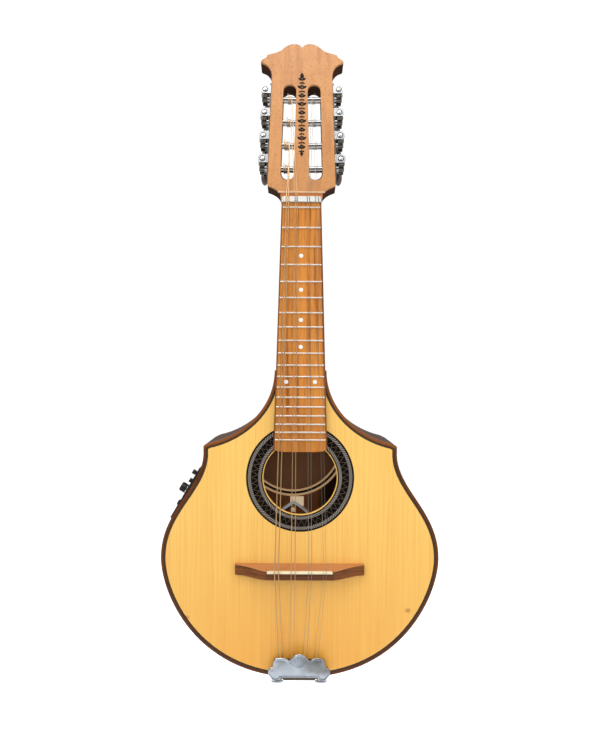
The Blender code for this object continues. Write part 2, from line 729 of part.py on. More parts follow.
def make_tuner_plate(name, side):
    """Side plate with two lugs to each worm, bored for the worm shafts and the posts."""
    near = GLUE_GAP
    far = GLUE_GAP + PLATE_THICKNESS
    worms = [post_s(k) + WORM_OFFSET for k in range(TUNERS_PER_SIDE)]
    low = post_s(0) - PLATE_MARGIN
    high = worms[-1] + PLATE_MARGIN
    edge = [(PLATE_FRONT, low)]
    for s in worms:
        edge += [(PLATE_FRONT, s - LUG_DROP), (LUG_FRONT, s - LUG_DROP),
                 (LUG_FRONT, s + LUG_RADIUS), (PLATE_FRONT, s + LUG_RADIUS)]
    edge += [(PLATE_FRONT, high), (PLATE_BACK, high), (PLATE_BACK, low)]
    made = add_object(name, plate(edge, side * near, side * far, axis=0), CHROME, side_frame(side))
    lugs = bmesh.new()
    for s in worms:
        shape = [(near + PLATE_THICKNESS / 2, s - LUG_DROP), (WORM_STANDOFF + LUG_FLAT, s - LUG_DROP)]
        for j in range(5):
            angle = math.radians(-40 + 130 * j / 4)
            shape.append((WORM_STANDOFF + LUG_RADIUS * math.cos(angle), s + LUG_RADIUS * math.sin(angle)))
        shape.append((near + PLATE_THICKNESS / 2, s + LUG_RADIUS))
        shape = [(side * x, height) for x, height in shape]
        for n in (LUG_FRONT, LUG_BACK):
            plate(shape, n, n + LUG_THICKNESS, axis=1, bm=lugs)
    boolean(made, tool_object(name + "_lugs", lugs, side_frame(side)), "UNION")
    bores = bmesh.new()
    shaft_bore = SHAFT_RADIUS + RUNNING_GAP
    for k, s in enumerate(worms):
        turned([(LUG_FRONT - TOOL_REACH, shaft_bore), (LUG_BACK + TOOL_REACH, shaft_bore)],
               KEY_SIDES, 1, (side * WORM_STANDOFF, 0.0, s), bores)
        turned([(-TOOL_REACH, BORE_RADIUS), (TOOL_REACH, BORE_RADIUS)], BORE_SIDES, 0,
               (0.0, POST_DEPTH, post_s(k)), bores)
    boolean(made, tool_object(name + "_bores", bores, side_frame(side)))
    return made


def post_bores(side):
    bores = bmesh.new()
    for k in range(TUNERS_PER_SIDE):
        profile = [(POST_INNER_END - RUNNING_GAP, BORE_RADIUS), (TOOL_REACH, BORE_RADIUS)]
        if side < 0:
            profile = [(-along, radius) for along, radius in profile]
        turned(profile, BORE_SIDES, 0, (0.0, POST_DEPTH, post_s(k)), bores)
    return tool_object("post_bores_" + ("bass" if side < 0 else "treble"), bores, side_frame(side))


def skin(bm, lower, upper):
    for i in range(len(lower)):
        j = (i + 1) % len(lower)
        bm.faces.new((lower[i], lower[j], upper[j], upper[i]))


LEAD_ANGLE = math.atan2(WORM_PITCH, math.tau * WORM_PITCH_RADIUS)


def gear_ring(along, twist):
    """One gear outline about the X axis: four points a tooth, from the foot of its first flank."""
    ring = []
    root = GEAR_PITCH_RADIUS - TOOTH_DEDENDUM
    tip = GEAR_PITCH_RADIUS + TOOTH_ADDENDUM
    for tooth in range(GEAR_TEETH):
        for share, radius in ((-0.25, root), (-0.10, tip), (0.10, tip), (0.25, root)):
            angle = (tooth + share) * math.tau / GEAR_TEETH + twist
            ring.append((along, radius * math.cos(angle), radius * math.sin(angle)))
    return ring


def post_ring(along, radius, twist):
    """A round section of the post with one point under each tooth's first flank."""
    angles = [(tooth - 0.25) * math.tau / GEAR_TEETH + twist for tooth in range(GEAR_TEETH)]
    return [(along, radius * math.cos(a), radius * math.sin(a)) for a in angles]


def post_mesh():
    """String post and worm wheel in one piece, turning about X, with the wheel outwards at +X."""
    low = WORM_STANDOFF - GEAR_FACE_WIDTH / 2
    high = WORM_STANDOFF + GEAR_FACE_WIDTH / 2
    twist = GEAR_FACE_WIDTH / 2 * math.tan(LEAD_ANGLE) / GEAR_PITCH_RADIUS
    bm = bmesh.new()

    def row(points):
        return [bm.verts.new(point) for point in points]

    inner_end = row(post_ring(POST_INNER_END, POST_RADIUS, -twist))
    inner = row(post_ring(low, POST_RADIUS, -twist))
    wheel_low = row(gear_ring(low, -twist))
    wheel_high = row(gear_ring(high, twist))
    outer = row(post_ring(high, POST_RADIUS, twist))
    outer_end = row(post_ring(high + 0.0009, POST_RADIUS - 0.0009, twist))
    for first, second in ((inner_end, inner), (wheel_low, wheel_high), (outer, outer_end)):
        skin(bm, first, second)
    # Each face of the wheel: one polygon under each tooth, from the post out to the tooth
    for hub, rim in ((inner, wheel_low), (outer, wheel_high)):
        for tooth in range(GEAR_TEETH):
            after = (tooth + 1) % GEAR_TEETH
            bm.faces.new([hub[tooth], hub[after], rim[4 * after]] + rim[4 * tooth:4 * tooth + 4][::-1])
    bm.faces.new(inner_end)
    bm.faces.new(outer_end)
    made = add_object("post", bm, CHROME)
    hide_tool(made)
    return made.data


# The worm's ridge over one pitch, as shares of the pitch: root, crest, crest, root
RIDGE_SHARES = (0.0, 0.16, 0.40, 0.56)
RIDGE_TURNS = 2
WORM_ROOT = WORM_PITCH_RADIUS - TOOTH_DEDENDUM
WORM_CREST = WORM_PITCH_RADIUS + TOOTH_ADDENDUM
# The ridge meets the wheel a quarter turn on, and there it lies in a tooth space of the wheel
RIDGE_AT_WHEEL = (RIDGE_SHARES[1] + RIDGE_SHARES[2]) / 2 + 0.25
WORM_START = POST_DEPTH - WORM_PITCH * (1.0 + RIDGE_AT_WHEEL)
WORM_END = WORM_START + WORM_PITCH * (RIDGE_TURNS + 1)


def skin_worm(bm, below, above):
    """Right-hand thread between two plain rings, skinned along its helix without a boolean."""
    columns = len(below)
    shares = len(RIDGE_SHARES)
    rows = RIDGE_TURNS * shares
    radii = (WORM_ROOT, WORM_CREST, WORM_CREST, WORM_ROOT)

    def vertex(row, column):
        along = WORM_START + WORM_PITCH * (row // shares + RIDGE_SHARES[row % shares] + column / columns)
        angle = math.tau * column / columns
        radius = radii[row % shares]
        return bm.verts.new((radius * math.cos(angle), radius * math.sin(angle), along))

    grid = [[vertex(row, column) for row in range(rows + 1)] for column in range(columns)]
    # Going once round climbs one pitch, so the first column carries on one pitch higher
    grid[0] += [vertex(row, 0) for row in range(rows + 1, rows + shares + 1)]
    grid.append(grid[0][shares:])
    for left, right in zip(grid, grid[1:]):
        for row in range(rows):
            bm.faces.new((left[row], right[row], right[row + 1], left[row + 1]))
    # Flat ends of the ridge, and the root surface down and up to the plain rings
    bm.faces.new(grid[0][:shares])
    bm.faces.new(grid[0][rows:rows + shares])
    for column in range(columns - 1):
        first, second = grid[column], grid[column + 1]
        bm.faces.new((below[column], below[column + 1], second[0], first[0]))
        if column > 0:
            bm.faces.new((first[rows], second[rows], above[column + 1], above[column]))
    bm.faces.new((below[-1], below[0], grid[0][0], grid[0][shares - 1], grid[0][shares], grid[-2][0]))
    bm.faces.new((grid[0][rows], grid[1][rows], above[1], above[0], grid[0][rows + shares],
                  grid[0][rows + shares - 1]))
    bm.faces.new((grid[-2][rows], grid[0][rows + shares], above[0], above[-1]))


def key_mesh():
    """Worm, shaft, ferrule and button in one piece, turning about Z from the front lug backwards."""
    bm = bmesh.new()

    def ring(along, across, tall):
        made = []
        for j in range(KEY_SIDES):
            angle = math.tau * j / KEY_SIDES
            made.append(bm.verts.new((across * math.cos(angle), tall * math.sin(angle), along)))
        return made

    lug_end = LUG_BACK + LUG_THICKNESS + RUNNING_GAP
    # Each shoulder is a step of a tenth of a millimetre, so that its faces stay apart
    step = KEY_STEP
    front = [(LUG_FRONT - RUNNING_GAP - step, SHAFT_RADIUS), (WORM_START - RUNNING_GAP - step, SHAFT_RADIUS),
             (WORM_START - RUNNING_GAP, WORM_ROOT)]
    back = [(WORM_END + RUNNING_GAP, WORM_ROOT, WORM_ROOT),
            (WORM_END + RUNNING_GAP + step, SHAFT_RADIUS, SHAFT_RADIUS),
            (lug_end + step, SHAFT_RADIUS, SHAFT_RADIUS),
            (lug_end + 2 * step, FERRULE_RADIUS, FERRULE_RADIUS),
            (FERRULE_END_N, FERRULE_RADIUS * FERRULE_TAPER, FERRULE_RADIUS * FERRULE_TAPER),
            (FERRULE_END_N + FERRULE_LIP, SHAFT_RADIUS, SHAFT_RADIUS)]
    start = BUTTON_CENTRE_N - BUTTON_LENGTH / 2
    back.append((start - 2 * step, SHAFT_RADIUS, SHAFT_RADIUS))
    for k in range(1, 6):
        angle = math.pi * k / 6
        swell = math.sin(angle) ** 0.6
        along = BUTTON_CENTRE_N - BUTTON_LENGTH / 2 * math.cos(angle)
        back.append((along, BUTTON_HALF_THICKNESS * swell, BUTTON_HALF_HEIGHT * swell))
    back.append((BUTTON_CENTRE_N + BUTTON_LENGTH / 2, BUTTON_HALF_THICKNESS * 0.3, BUTTON_HALF_HEIGHT * 0.33))
    front_rings = [ring(along, radius, radius) for along, radius in front]
    back_rings = [ring(along, across, tall) for along, across, tall in back]
    bm.faces.new(front_rings[0])
    bm.faces.new(back_rings[-1])
    for rings in (front_rings, back_rings):
        for lower, upper in zip(rings, rings[1:]):
            skin(bm, lower, upper)
    skin_worm(bm, front_rings[-1], back_rings[0])
    made = add_object("key", bm, CHROME)
    mesh = made.data
    hide_tool(made)
    return mesh


def make_machine_heads():
    post = post_mesh()
    key = key_mesh()
    for side, word in ((-1, "bass"), (1, "treble")):
        frame = side_frame(side)
        for k in range(TUNERS_PER_SIDE):
            seat = Matrix.Translation((0.0, POST_DEPTH, post_s(k)))
            turn = Matrix.Rotation(math.pi, 4, "Y") if side < 0 else Matrix.Identity(4)
            place_copy("post_%s_%d" % (word, k + 1), post, frame @ seat @ turn)
            worm = Matrix.Translation((side * WORM_STANDOFF, 0.0, post_s(k) + WORM_OFFSET))
            # The key's own axis is Z and its button is tall along Y: turn them to n and s
            upright = Matrix.Rotation(-math.pi / 2, 4, "X")
            place_copy("key_%s_%d" % (word, k + 1), key, frame @ worm @ upright)


# Bridge

def bridge_ring(x, crown):
    """Bridge section at x as (y, z). Crown is 1 in the middle and 0 at the wing's end."""
    height = BRIDGE_WING_HEIGHT + (BRIDGE_HEIGHT - BRIDGE_WING_HEIGHT) * crown
    depth = BRIDGE_WING_DEPTH + (BRIDGE_CROWN_DEPTH - BRIDGE_WING_DEPTH) * crown
    lean = BRIDGE_WING_LEAN + BRIDGE_CROWN_LEAN * crown
    foot = -GLUE_GAP
    tail = BRIDGE_HEAD_Z - depth
    ridge = BRIDGE_HEAD_Z - lean
    fall = BRIDGE_CROWN_FALL * crown
    # The back edge carries a small bevel
    return [Vector((x, foot, BRIDGE_HEAD_Z)), Vector((x, -height, ridge)),
            Vector((x, -height + fall, tail + BRIDGE_BEVEL)),
            Vector((x, -height + 1.5 * fall + BRIDGE_BEVEL, tail)), Vector((x, foot, tail))]


def make_bridge():
    stations = [(-1.0, 0.0), (-0.88, 0.14), (-0.76, 0.44), (-0.62, 0.82)]
    rings = [bridge_ring(x * BRIDGE_HALF_LENGTH, crown) for x, crown in stations]
    rings.append(bridge_ring(-BRIDGE_CROWN_HALF_LENGTH, 1.0))
    rings += [[Vector((-p.x, p.y, p.z)) for p in ring] for ring in reversed(rings)]
    bridge = add_object("bridge", loft(rings), BRIDGE_WOOD)
    slot = box((-SADDLE_HALF_LENGTH - GLUE_GAP, -BRIDGE_HEIGHT - TOOL_REACH,
                SADDLE_Z - SADDLE_THICKNESS / 2 - GLUE_GAP),
               (SADDLE_HALF_LENGTH + GLUE_GAP, -BRIDGE_HEIGHT + SADDLE_SLOT_DEPTH,
                SADDLE_Z + SADDLE_THICKNESS / 2 + GLUE_GAP))
    boolean(bridge, tool_object("saddle_slot", slot))
    saddle = box((-SADDLE_HALF_LENGTH, -SADDLE_HEIGHT, SADDLE_Z - SADDLE_THICKNESS / 2),
                 (SADDLE_HALF_LENGTH, -BRIDGE_HEIGHT + SADDLE_SLOT_DEPTH - GLUE_GAP,
                  SADDLE_Z + SADDLE_THICKNESS / 2))
    add_object("saddle", saddle, BONE)
    seat = TOP_THICKNESS + GLUE_GAP
    pickup = turned([(seat, PICKUP_RADIUS), (seat + PICKUP_THICKNESS, PICKUP_RADIUS)], 20, 1,
                    (0.0, 0.0, SADDLE_Z))
    add_object("piezo_pickup", pickup, BRASS)


# Tailpiece

def cover_outline():
    """Cloud outline of the tailpiece cover, right half from the peak to the notch at the tail."""
    peak = bezier((0.0, -0.4407), (0.0055, -0.4407), (0.0085, -0.4445), (0.0101, -0.4478), 4)
    upper = bezier((0.0101, -0.4478), (0.0145, -0.4440), (0.0245, -0.4440), (0.0249, -0.4532), 6)
    outer = bezier((0.0249, -0.4540), (0.0300, -0.4545), (0.0345, -0.4620), (0.0267, -0.4642), 5)
    leg = [(0.0266, -0.4642), (0.0264, -0.4662), (0.0172, -0.4662), (0.0172, -0.4636), (0.0, -0.4636)]
    return peak + upper + outer + leg


def make_tailpiece():
    front = -COVER_FRONT
    sheet = plate(mirrored(cover_outline()), front, front + COVER_SHEET)
    cover = add_object("tailpiece_cover", sheet, CHROME)
    # Turned-back side flanges keep the cover on the base's edges
    flanges = bmesh.new()
    inner = BASE_HALF_WIDTH + RUNNING_GAP
    for side in (-1.0, 1.0):
        edges = sorted((side * inner, side * (inner + COVER_SHEET)))
        box((edges[0], front + COVER_SHEET / 2, FLANGE_TAIL_Z),
            (edges[1], -GLUE_GAP * 3, FLANGE_HEAD_Z), flanges)
    boolean(cover, tool_object("cover_flanges", flanges), "UNION")
    sheet = box((-BASE_HALF_WIDTH, -GLUE_GAP - BASE_SHEET, TAIL_Z - GLUE_GAP - BASE_SHEET),
                (BASE_HALF_WIDTH, -GLUE_GAP, BASE_HEAD_Z))
    base = add_object("tailpiece_base", sheet, CHROME)
    parts = bmesh.new()
    end_outer = TAIL_Z - GLUE_GAP - BASE_SHEET
    half = BASE_END_HALF_WIDTH
    box((-half, -GLUE_GAP - BASE_SHEET / 2, end_outer), (half, BASE_END_REACH, TAIL_Z - GLUE_GAP), parts)
    boolean(base, tool_object("base_end_leg", parts), "UNION")
    details = bmesh.new()
    for left, right in zip(STRING_TAIL_X[0::2], STRING_TAIL_X[1::2]):
        middle = (left + right) / 2
        turned([(-GLUE_GAP - BASE_SHEET / 2, HOOK_RADIUS), (-HOOK_HEIGHT, HOOK_RADIUS)][::-1], 10, 1,
               (middle, 0.0, HOOK_Z), details)
    for side in (-1.0, 1.0):
        turned([(side * FOOT_INNER_X, FOOT_RADIUS), (side * FOOT_OUTER_X, FOOT_RADIUS)], 12, 0,
               (0.0, FOOT_Y, TAIL_Z - FOOT_DROP), details)
    boolean(base, tool_object("base_hooks", details), "UNION")


# Preamplifier

def panel_span():
    """The stretch of the bass rib's outer outline that the panel covers, top end first."""
    points = [(-x, z) for x, z in HALF_OUTLINE]
    centre = (-half_width_at(PANEL_Z), PANEL_Z)
    ends = []
    for sign in (1, -1):
        z = PANEL_Z
        while math.dist(centre, (-half_width_at(z), z)) < PANEL_LENGTH / 2:
            z += sign * 0.0002
        ends.append((-half_width_at(z), z))
    inner = [p for p in points if ends[1][1] < p[1] < ends[0][1]]
    return [ends[0]] + inner + [ends[1]]


PANEL_SPAN = panel_span()
PANEL_UP = (Vector(PANEL_SPAN[0]) - Vector(PANEL_SPAN[-1])).normalized()
PANEL_OUT = Vector((-PANEL_UP.y, PANEL_UP.x))


def panel_frame():
    """Frame with its origin on the panel's outer face: X up along the rib, Y back, Z outward."""
    middle = (Vector(PANEL_SPAN[0]) + Vector(PANEL_SPAN[-1])) / 2
    reach = max((Vector(p) - middle).dot(PANEL_OUT) for p in PANEL_SPAN)
    origin = middle + PANEL_OUT * (reach + PANEL_PROUD)
    rotation = Matrix(((PANEL_UP.x, 0.0, PANEL_OUT.x), (0.0, 1.0, 0.0), (PANEL_UP.y, 0.0, PANEL_OUT.y)))
    return Matrix.Translation((origin.x, (PANEL_FRONT_Y + PANEL_BACK_Y) / 2, origin.y)) @ rotation.to_4x4()


PANEL_FRAME = panel_frame()
PANEL_MID_Y = (PANEL_FRONT_Y + PANEL_BACK_Y) / 2
# Knobs and button: name, place up the panel, place back from the panel's middle, radius, height
VOLUME_KNOB = ("knob_volume", 0.0008, -0.0100, 0.0044, 0.0078)
BASS_KNOB = ("knob_bass", 0.0084, -0.0020, 0.0024, 0.0050)
TREBLE_KNOB = ("knob_treble", 0.0200, -0.0100, 0.0024, 0.0050)
PUSH_BUTTON = ("push_button", -0.0145, -0.0120, 0.0032, 0.0022)
STEM_DEPTH = 0.0080


def make_preamp(rib):
    inverse = PANEL_FRAME.inverted()
    ends = [inverse @ Vector((x, PANEL_MID_Y, z)) for x, z in PANEL_SPAN]
    half = (PANEL_BACK_Y - PANEL_FRONT_Y) / 2
    under = [(point.x, point.z + GLUE_GAP) for point in ends]
    outline = [(under[-1][0], 0.0), (under[0][0], 0.0)] + under
    bezel = add_object("preamp_housing", plate(outline, -half, half), BLACK_PLASTIC, PANEL_FRAME)
    reach_p = PANEL_LENGTH / 2 - PANEL_OVERLAP
    reach_y = half - PANEL_OVERLAP
    opening = box((-reach_p, -reach_y, -0.030), (reach_p, reach_y, 0.010))
    boolean(rib, tool_object("preamp_opening", opening, PANEL_FRAME))
    inner_p = reach_p - GLUE_GAP
    inner_y = reach_y - GLUE_GAP
    body = box((-inner_p, -inner_y, -HOUSING_DEPTH), (inner_p, inner_y, -0.0012))
    boolean(bezel, tool_object("preamp_body", body, PANEL_FRAME), "UNION")
    tray_y = TRAY_Y - PANEL_MID_Y
    pocket_p = TRAY_WIDTH / 2 + RUNNING_GAP
    pocket_y = TRAY_HEIGHT / 2 + RUNNING_GAP
    outer_p = pocket_p + SLEEVE_WALL
    outer_y = pocket_y + SLEEVE_WALL
    sleeve = box((TRAY_P - outer_p, tray_y - outer_y, -TRAY_LENGTH - 0.0030),
                 (TRAY_P + outer_p, tray_y + outer_y, -0.0014))
    boolean(bezel, tool_object("battery_sleeve", sleeve, PANEL_FRAME), "UNION")
    holes = bmesh.new()
    box((TRAY_P - pocket_p, tray_y - pocket_y, -TRAY_LENGTH - 0.0012),
        (TRAY_P + pocket_p, tray_y + pocket_y, 0.0050), holes)
    for name, p, y, radius, height in (VOLUME_KNOB, BASS_KNOB, TREBLE_KNOB):
        turned([(-STEM_DEPTH - RUNNING_GAP, KNOB_STEM_RADIUS + RUNNING_GAP),
                (TOOL_REACH, KNOB_STEM_RADIUS + RUNNING_GAP)], 12, 2, (p, y, 0.0), holes)
    name, p, y, radius, height = PUSH_BUTTON
    well = radius + RUNNING_GAP
    turned([(-STEM_DEPTH, well), (TOOL_REACH, well)], 16, 2, (p, y, 0.0), holes)
    boolean(bezel, tool_object("preamp_holes", holes, PANEL_FRAME))

    for name, p, y, radius, height in (VOLUME_KNOB, BASS_KNOB, TREBLE_KNOB):
        profile = [(-STEM_DEPTH, KNOB_STEM_RADIUS), (RUNNING_GAP, KNOB_STEM_RADIUS), (RUNNING_GAP, radius),
                   (height * 0.86, radius * 0.94), (height, radius * 0.80)]
        add_object(name, turned(profile, 16, 2), BLACK_PLASTIC, PANEL_FRAME @ Matrix.Translation((p, y, 0.0)))
    name, p, y, radius, height = PUSH_BUTTON
    profile = [(-STEM_DEPTH + BUTTON_TRAVEL + RUNNING_GAP, radius), (height * 0.4, radius),
               (height * 0.8, radius * 0.8), (height, radius * 0.4)]
    add_object(name, turned(profile, 16, 2), BLACK_PLASTIC, PANEL_FRAME @ Matrix.Translation((p, y, 0.0)))

    tray_frame = PANEL_FRAME @ Matrix.Translation((TRAY_P, tray_y, 0.0))
    tray = add_object("battery_tray", box((-TRAY_WIDTH / 2, -TRAY_HEIGHT / 2, -TRAY_LENGTH),
                                          (TRAY_WIDTH / 2, TRAY_HEIGHT / 2, 0.0)), BLACK_PLASTIC, tray_frame)
    face = TRAY_FACE
    well = box((-TRAY_WIDTH / 2 + TRAY_WALL, -TRAY_HEIGHT / 2 + TRAY_WALL, -TRAY_LENGTH + TRAY_WALL),
               (TRAY_WIDTH / 2 - TRAY_WALL, TRAY_HEIGHT, -face))
    boolean(tray, tool_object("battery_well", well, tray_frame))
    width, height, length = BATTERY_SIZE
    clearance = RUNNING_GAP
    floor = -TRAY_HEIGHT / 2 + TRAY_WALL + clearance
    seat = -face - clearance
    battery = box((-width / 2, floor, seat - length), (width / 2, floor + height, seat))
    add_object("battery", battery, BATTERY_METAL, tray_frame)


# Output jack in the tail block

JACK_Y = 0.0450
JACK_BARREL_RADIUS = 0.0046
JACK_FLANGE_RADIUS = 0.0080
JACK_STANDS_OUT = 0.0120
JACK_BORE_RADIUS = 0.0033
JACK_INNER_Z = TAIL_Z + LINING_INSET + TAIL_BLOCK_THICKNESS + 0.0090


def make_jack(block, ribs):
    face = TAIL_Z - GLUE_GAP
    inner = JACK_INNER_Z
    nut_seat = TAIL_Z + LINING_INSET + TAIL_BLOCK_THICKNESS + GLUE_GAP
    profile = [(inner, JACK_BARREL_RADIUS), (nut_seat + 0.0024, JACK_BARREL_RADIUS),
               (nut_seat + 0.0024, 0.0070), (nut_seat, 0.0070), (nut_seat, JACK_BARREL_RADIUS),
               (face, JACK_BARREL_RADIUS), (face, JACK_FLANGE_RADIUS), (face - 0.0020, JACK_FLANGE_RADIUS),
               (face - 0.0038, 0.0055), (face - 0.0080, 0.0052), (face - 0.0100, 0.0068),
               (face - JACK_STANDS_OUT, 0.0062), (face - JACK_STANDS_OUT, JACK_BORE_RADIUS),
               (inner - 0.0030, JACK_BORE_RADIUS)]
    add_object("output_jack", turned(profile, 12, 2, (0.0, JACK_Y, 0.0)), CHROME)
    hole_radius = JACK_BARREL_RADIUS + GLUE_GAP
    hole = turned([(TAIL_Z - 0.010, hole_radius), (inner + 0.002, hole_radius)], 16, 2, (0.0, JACK_Y, 0.0))
    tool = tool_object("jack_hole", hole)
    for target in (block, *ribs):
        boolean(target, tool)


# Leads inside the body

LEAD_RADIUS = 0.0012
PICKUP_LEAD_RADIUS = 0.0008


def smooth_route(points, steps=2):
    """A Catmull-Rom curve through chosen points."""
    knots = [Vector(p) for p in points]
    knots = [2 * knots[0] - knots[1]] + knots + [2 * knots[-1] - knots[-2]]
    route = []
    for a, b, c, d in zip(knots, knots[1:], knots[2:], knots[3:]):
        for i in range(steps):
            t = i / steps
            route.append(0.5 * (2 * b + (c - a) * t + (2 * a - 5 * b + 4 * c - d) * t * t
                                + (3 * b - a - 3 * c + d) * t ** 3))
    route.append(knots[-2])
    return route


def make_leads():
    # The output lead leaves the housing's lower end, comes down behind the rib and crosses to the jack
    exit_p = -(PANEL_LENGTH / 2 - PANEL_OVERLAP) + GLUE_GAP / 2
    leave = [PANEL_FRAME @ Vector((exit_p - reach, 0.0, -0.0170)) for reach in (GLUE_GAP, 0.0030, 0.0060)]
    jack_end = JACK_INNER_Z + 2 * GLUE_GAP
    lowest = BACK_INNER_Y - LINING_HEIGHT - 0.0040
    # Down the rib each point is a share of the body's half width at its height
    down = [(0.8803, 0.0440, BOUT_Z + 0.0140), (0.9284, 0.0520, BOUT_Z - 0.0020),
            (0.9346, lowest, BOUT_Z - 0.0240), (0.9333, lowest, BOUT_Z - 0.0520),
            (0.8668, lowest, TAIL_Z + 0.0388), (0.6156, lowest, TAIL_Z + 0.0298),
            (0.3537, 0.0560, TAIL_Z + 0.0318)]
    route = leave + [Vector((-share * half_width_at(z), y, z)) for share, y, z in down]
    # The last stretch comes up in front of the jack and goes straight down into it
    arrive = [(-0.0180, 0.0040, 0.0398), (-0.0075, 0.0010, 0.0443), (-0.0012, 0.0, 0.0403), (0.0, 0.0, 0.0348)]
    route += [Vector((x, JACK_Y + y, TAIL_Z + z)) for x, y, z in arrive]
    route.append(Vector((0.0, JACK_Y, jack_end)))
    wire("output_lead", smooth_route(route), LEAD_RADIUS, BLACK_PLASTIC)
    # The pickup lead lies under the soundboard, climbs over the brace's end and enters the housing
    under = TOP_THICKNESS + 2 * GLUE_GAP + PICKUP_LEAD_RADIUS
    over = TOP_THICKNESS + BRACE_HEIGHT
    enter = [PANEL_FRAME @ Vector((-0.0100, -0.0120, -HOUSING_DEPTH - reach))
             for reach in (0.0120, 0.0060, 0.0003)]
    route = [(-PICKUP_RADIUS - 2 * GLUE_GAP, under, SADDLE_Z),
             (-2 * PICKUP_RADIUS, under, SADDLE_Z + 0.0006),
             (-4.5 * PICKUP_RADIUS, under, SADDLE_Z + 0.0044)]
    # From here on its points are measured from the housing's inner end
    climb = [(0.0160, under, -0.0368), (-0.0040, under + 0.0010, -0.0278), (-0.0140, over - 0.0060, -0.0198),
             (-0.0170, over, -0.0128), (-0.0140, over + 0.0050, -0.0068), (-0.0075, over + 0.0100, -0.0038)]
    route += [(enter[0].x + x, y, enter[0].z + z) for x, y, z in climb]
    wire("pickup_lead", smooth_route(route + enter), PICKUP_LEAD_RADIUS, BLACK_PLASTIC)


# Strings

def string_path(i):
    """Route of one string: tailpiece, saddle, zero fret, nut, then turns round its post."""
    radius = STRING_DIAMETERS[i] / 2
    side = -1 if i < 4 else 1
    lift = RUNNING_GAP + radius
    nut_y = -(GLUE_GAP + FRETBOARD_THICKNESS + FRET_HEIGHT + lift)
    saddle_y = -(SADDLE_HEIGHT + lift)
    tail = Vector((STRING_TAIL_X[i], -0.0038, HOOK_Z - 0.0010))
    points = [tail, Vector((STRING_SADDLE_X[i], saddle_y, SADDLE_Z)),
              Vector((STRING_NUT_X[i], nut_y, ZERO_FRET_Z)),
              Vector((STRING_NUT_X[i], nut_y, NUT_THICKNESS / 2))]
    frame = side_frame(side)
    centre = frame @ Vector((0.0, POST_DEPTH, post_s(STRING_POST[i])))
    axis = (frame.to_3x3() @ Vector((float(side), 0.0, 0.0))).normalized()
    meet = centre + axis * ((STRING_POST_X[i] - centre.x) / axis.x)
    wrap = POST_RADIUS + RUNNING_GAP + radius
    # The string touches the post's front, so its first turn goes over the top and down behind
    start = points[-1]
    reach = meet - start
    flat = reach - axis * reach.dot(axis)
    up = flat.normalized()
    away = axis.cross(up) if axis.cross(up).y < 0 else -axis.cross(up)
    tilt = math.asin(wrap / flat.length)
    begin = math.pi / 2 + tilt
    first = meet + up * (wrap * math.cos(begin)) + away * (wrap * math.sin(begin))
    pitch = STRING_DIAMETERS[i] + WINDING_SPACING
    points.append(first)
    total = STRING_TURNS * WINDING_STEPS
    for step in range(1, total + 1):
        angle = begin - math.tau * step / WINDING_STEPS
        along = axis * (pitch * step / WINDING_STEPS)
        points.append(meet + along + up * (wrap * math.cos(angle)) + away * (wrap * math.sin(angle)))
    leaving = (points[-1] - points[-2]).normalized()
    points.append(points[-1] + leaving * STRING_TAIL_LENGTH)
    return points


def least_self_gap(points, radius):
    """Least distance between parts of a wound tube more than half a turn apart, less its diameter."""
    least = 1.0
    apart = WINDING_STEPS // 2 + 1
    for i in range(4, len(points)):
        for j in range(i + apart, len(points)):
            least = min(least, (points[i] - points[j]).length - 2 * radius)
    return least


def make_strings():
    names = ("string_g_outer", "string_g_inner", "string_d_outer", "string_d_inner",
             "string_a_inner", "string_a_outer", "string_e_inner", "string_e_outer")
    for i, name in enumerate(names):
        points = string_path(i)
        radius = STRING_DIAMETERS[i] / 2
        wire(name, points, radius, BRONZE if i < 4 else STEEL)
        print(name, "least gap between its turns: %.2f mm" % (1000 * least_self_gap(points, radius)))


# Assembly

make_soundboard()
make_rosette()
make_back()
rib_bass, rib_treble = make_rim()
make_linings()
tail_block = make_blocks()
make_brace("brace_top_upper", HOLE_Z + 0.0460, TOP_THICKNESS, 1.0)
make_brace("brace_top_lower", SADDLE_Z + PICKUP_RADIUS + 0.0284, TOP_THICKNESS, 1.0)
make_brace("brace_back_upper", HOLE_Z + 0.0260, BACK_INNER_Y, -1.0)
make_brace("brace_back_lower", BOUT_Z - 0.0440, BACK_INNER_Y, -1.0)
make_fretboard()
make_nut()
neck = make_neck()
veneer = make_veneer()
for side, word in ((-1, "bass"), (1, "treble")):
    cutter = slot_tool("slot_" + word, side)
    boolean(neck, cutter)
    boolean(veneer, cutter)
    boolean(neck, post_bores(side))
    make_tuner_plate("tuner_plate_" + word, side)
make_machine_heads()
make_bridge()
make_tailpiece()
make_preamp(rib_bass)
make_jack(tail_block, (rib_bass, rib_treble))
make_leads()
make_strings()
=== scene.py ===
# %% [markdown]
# # A flat-top mandolin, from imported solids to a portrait
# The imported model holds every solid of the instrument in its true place. This lesson builds finer
# visible pieces around those solids and gives each of them the finish of the real material. A solid
# whose shape is already right only gets a better material. Everything is in metres: X runs across the
# strings with the bass side negative, Z runs up the neck, and the soundboard faces -Y.

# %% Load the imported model
import json
import math

import bmesh
import bpy
from mathutils import Matrix, Vector


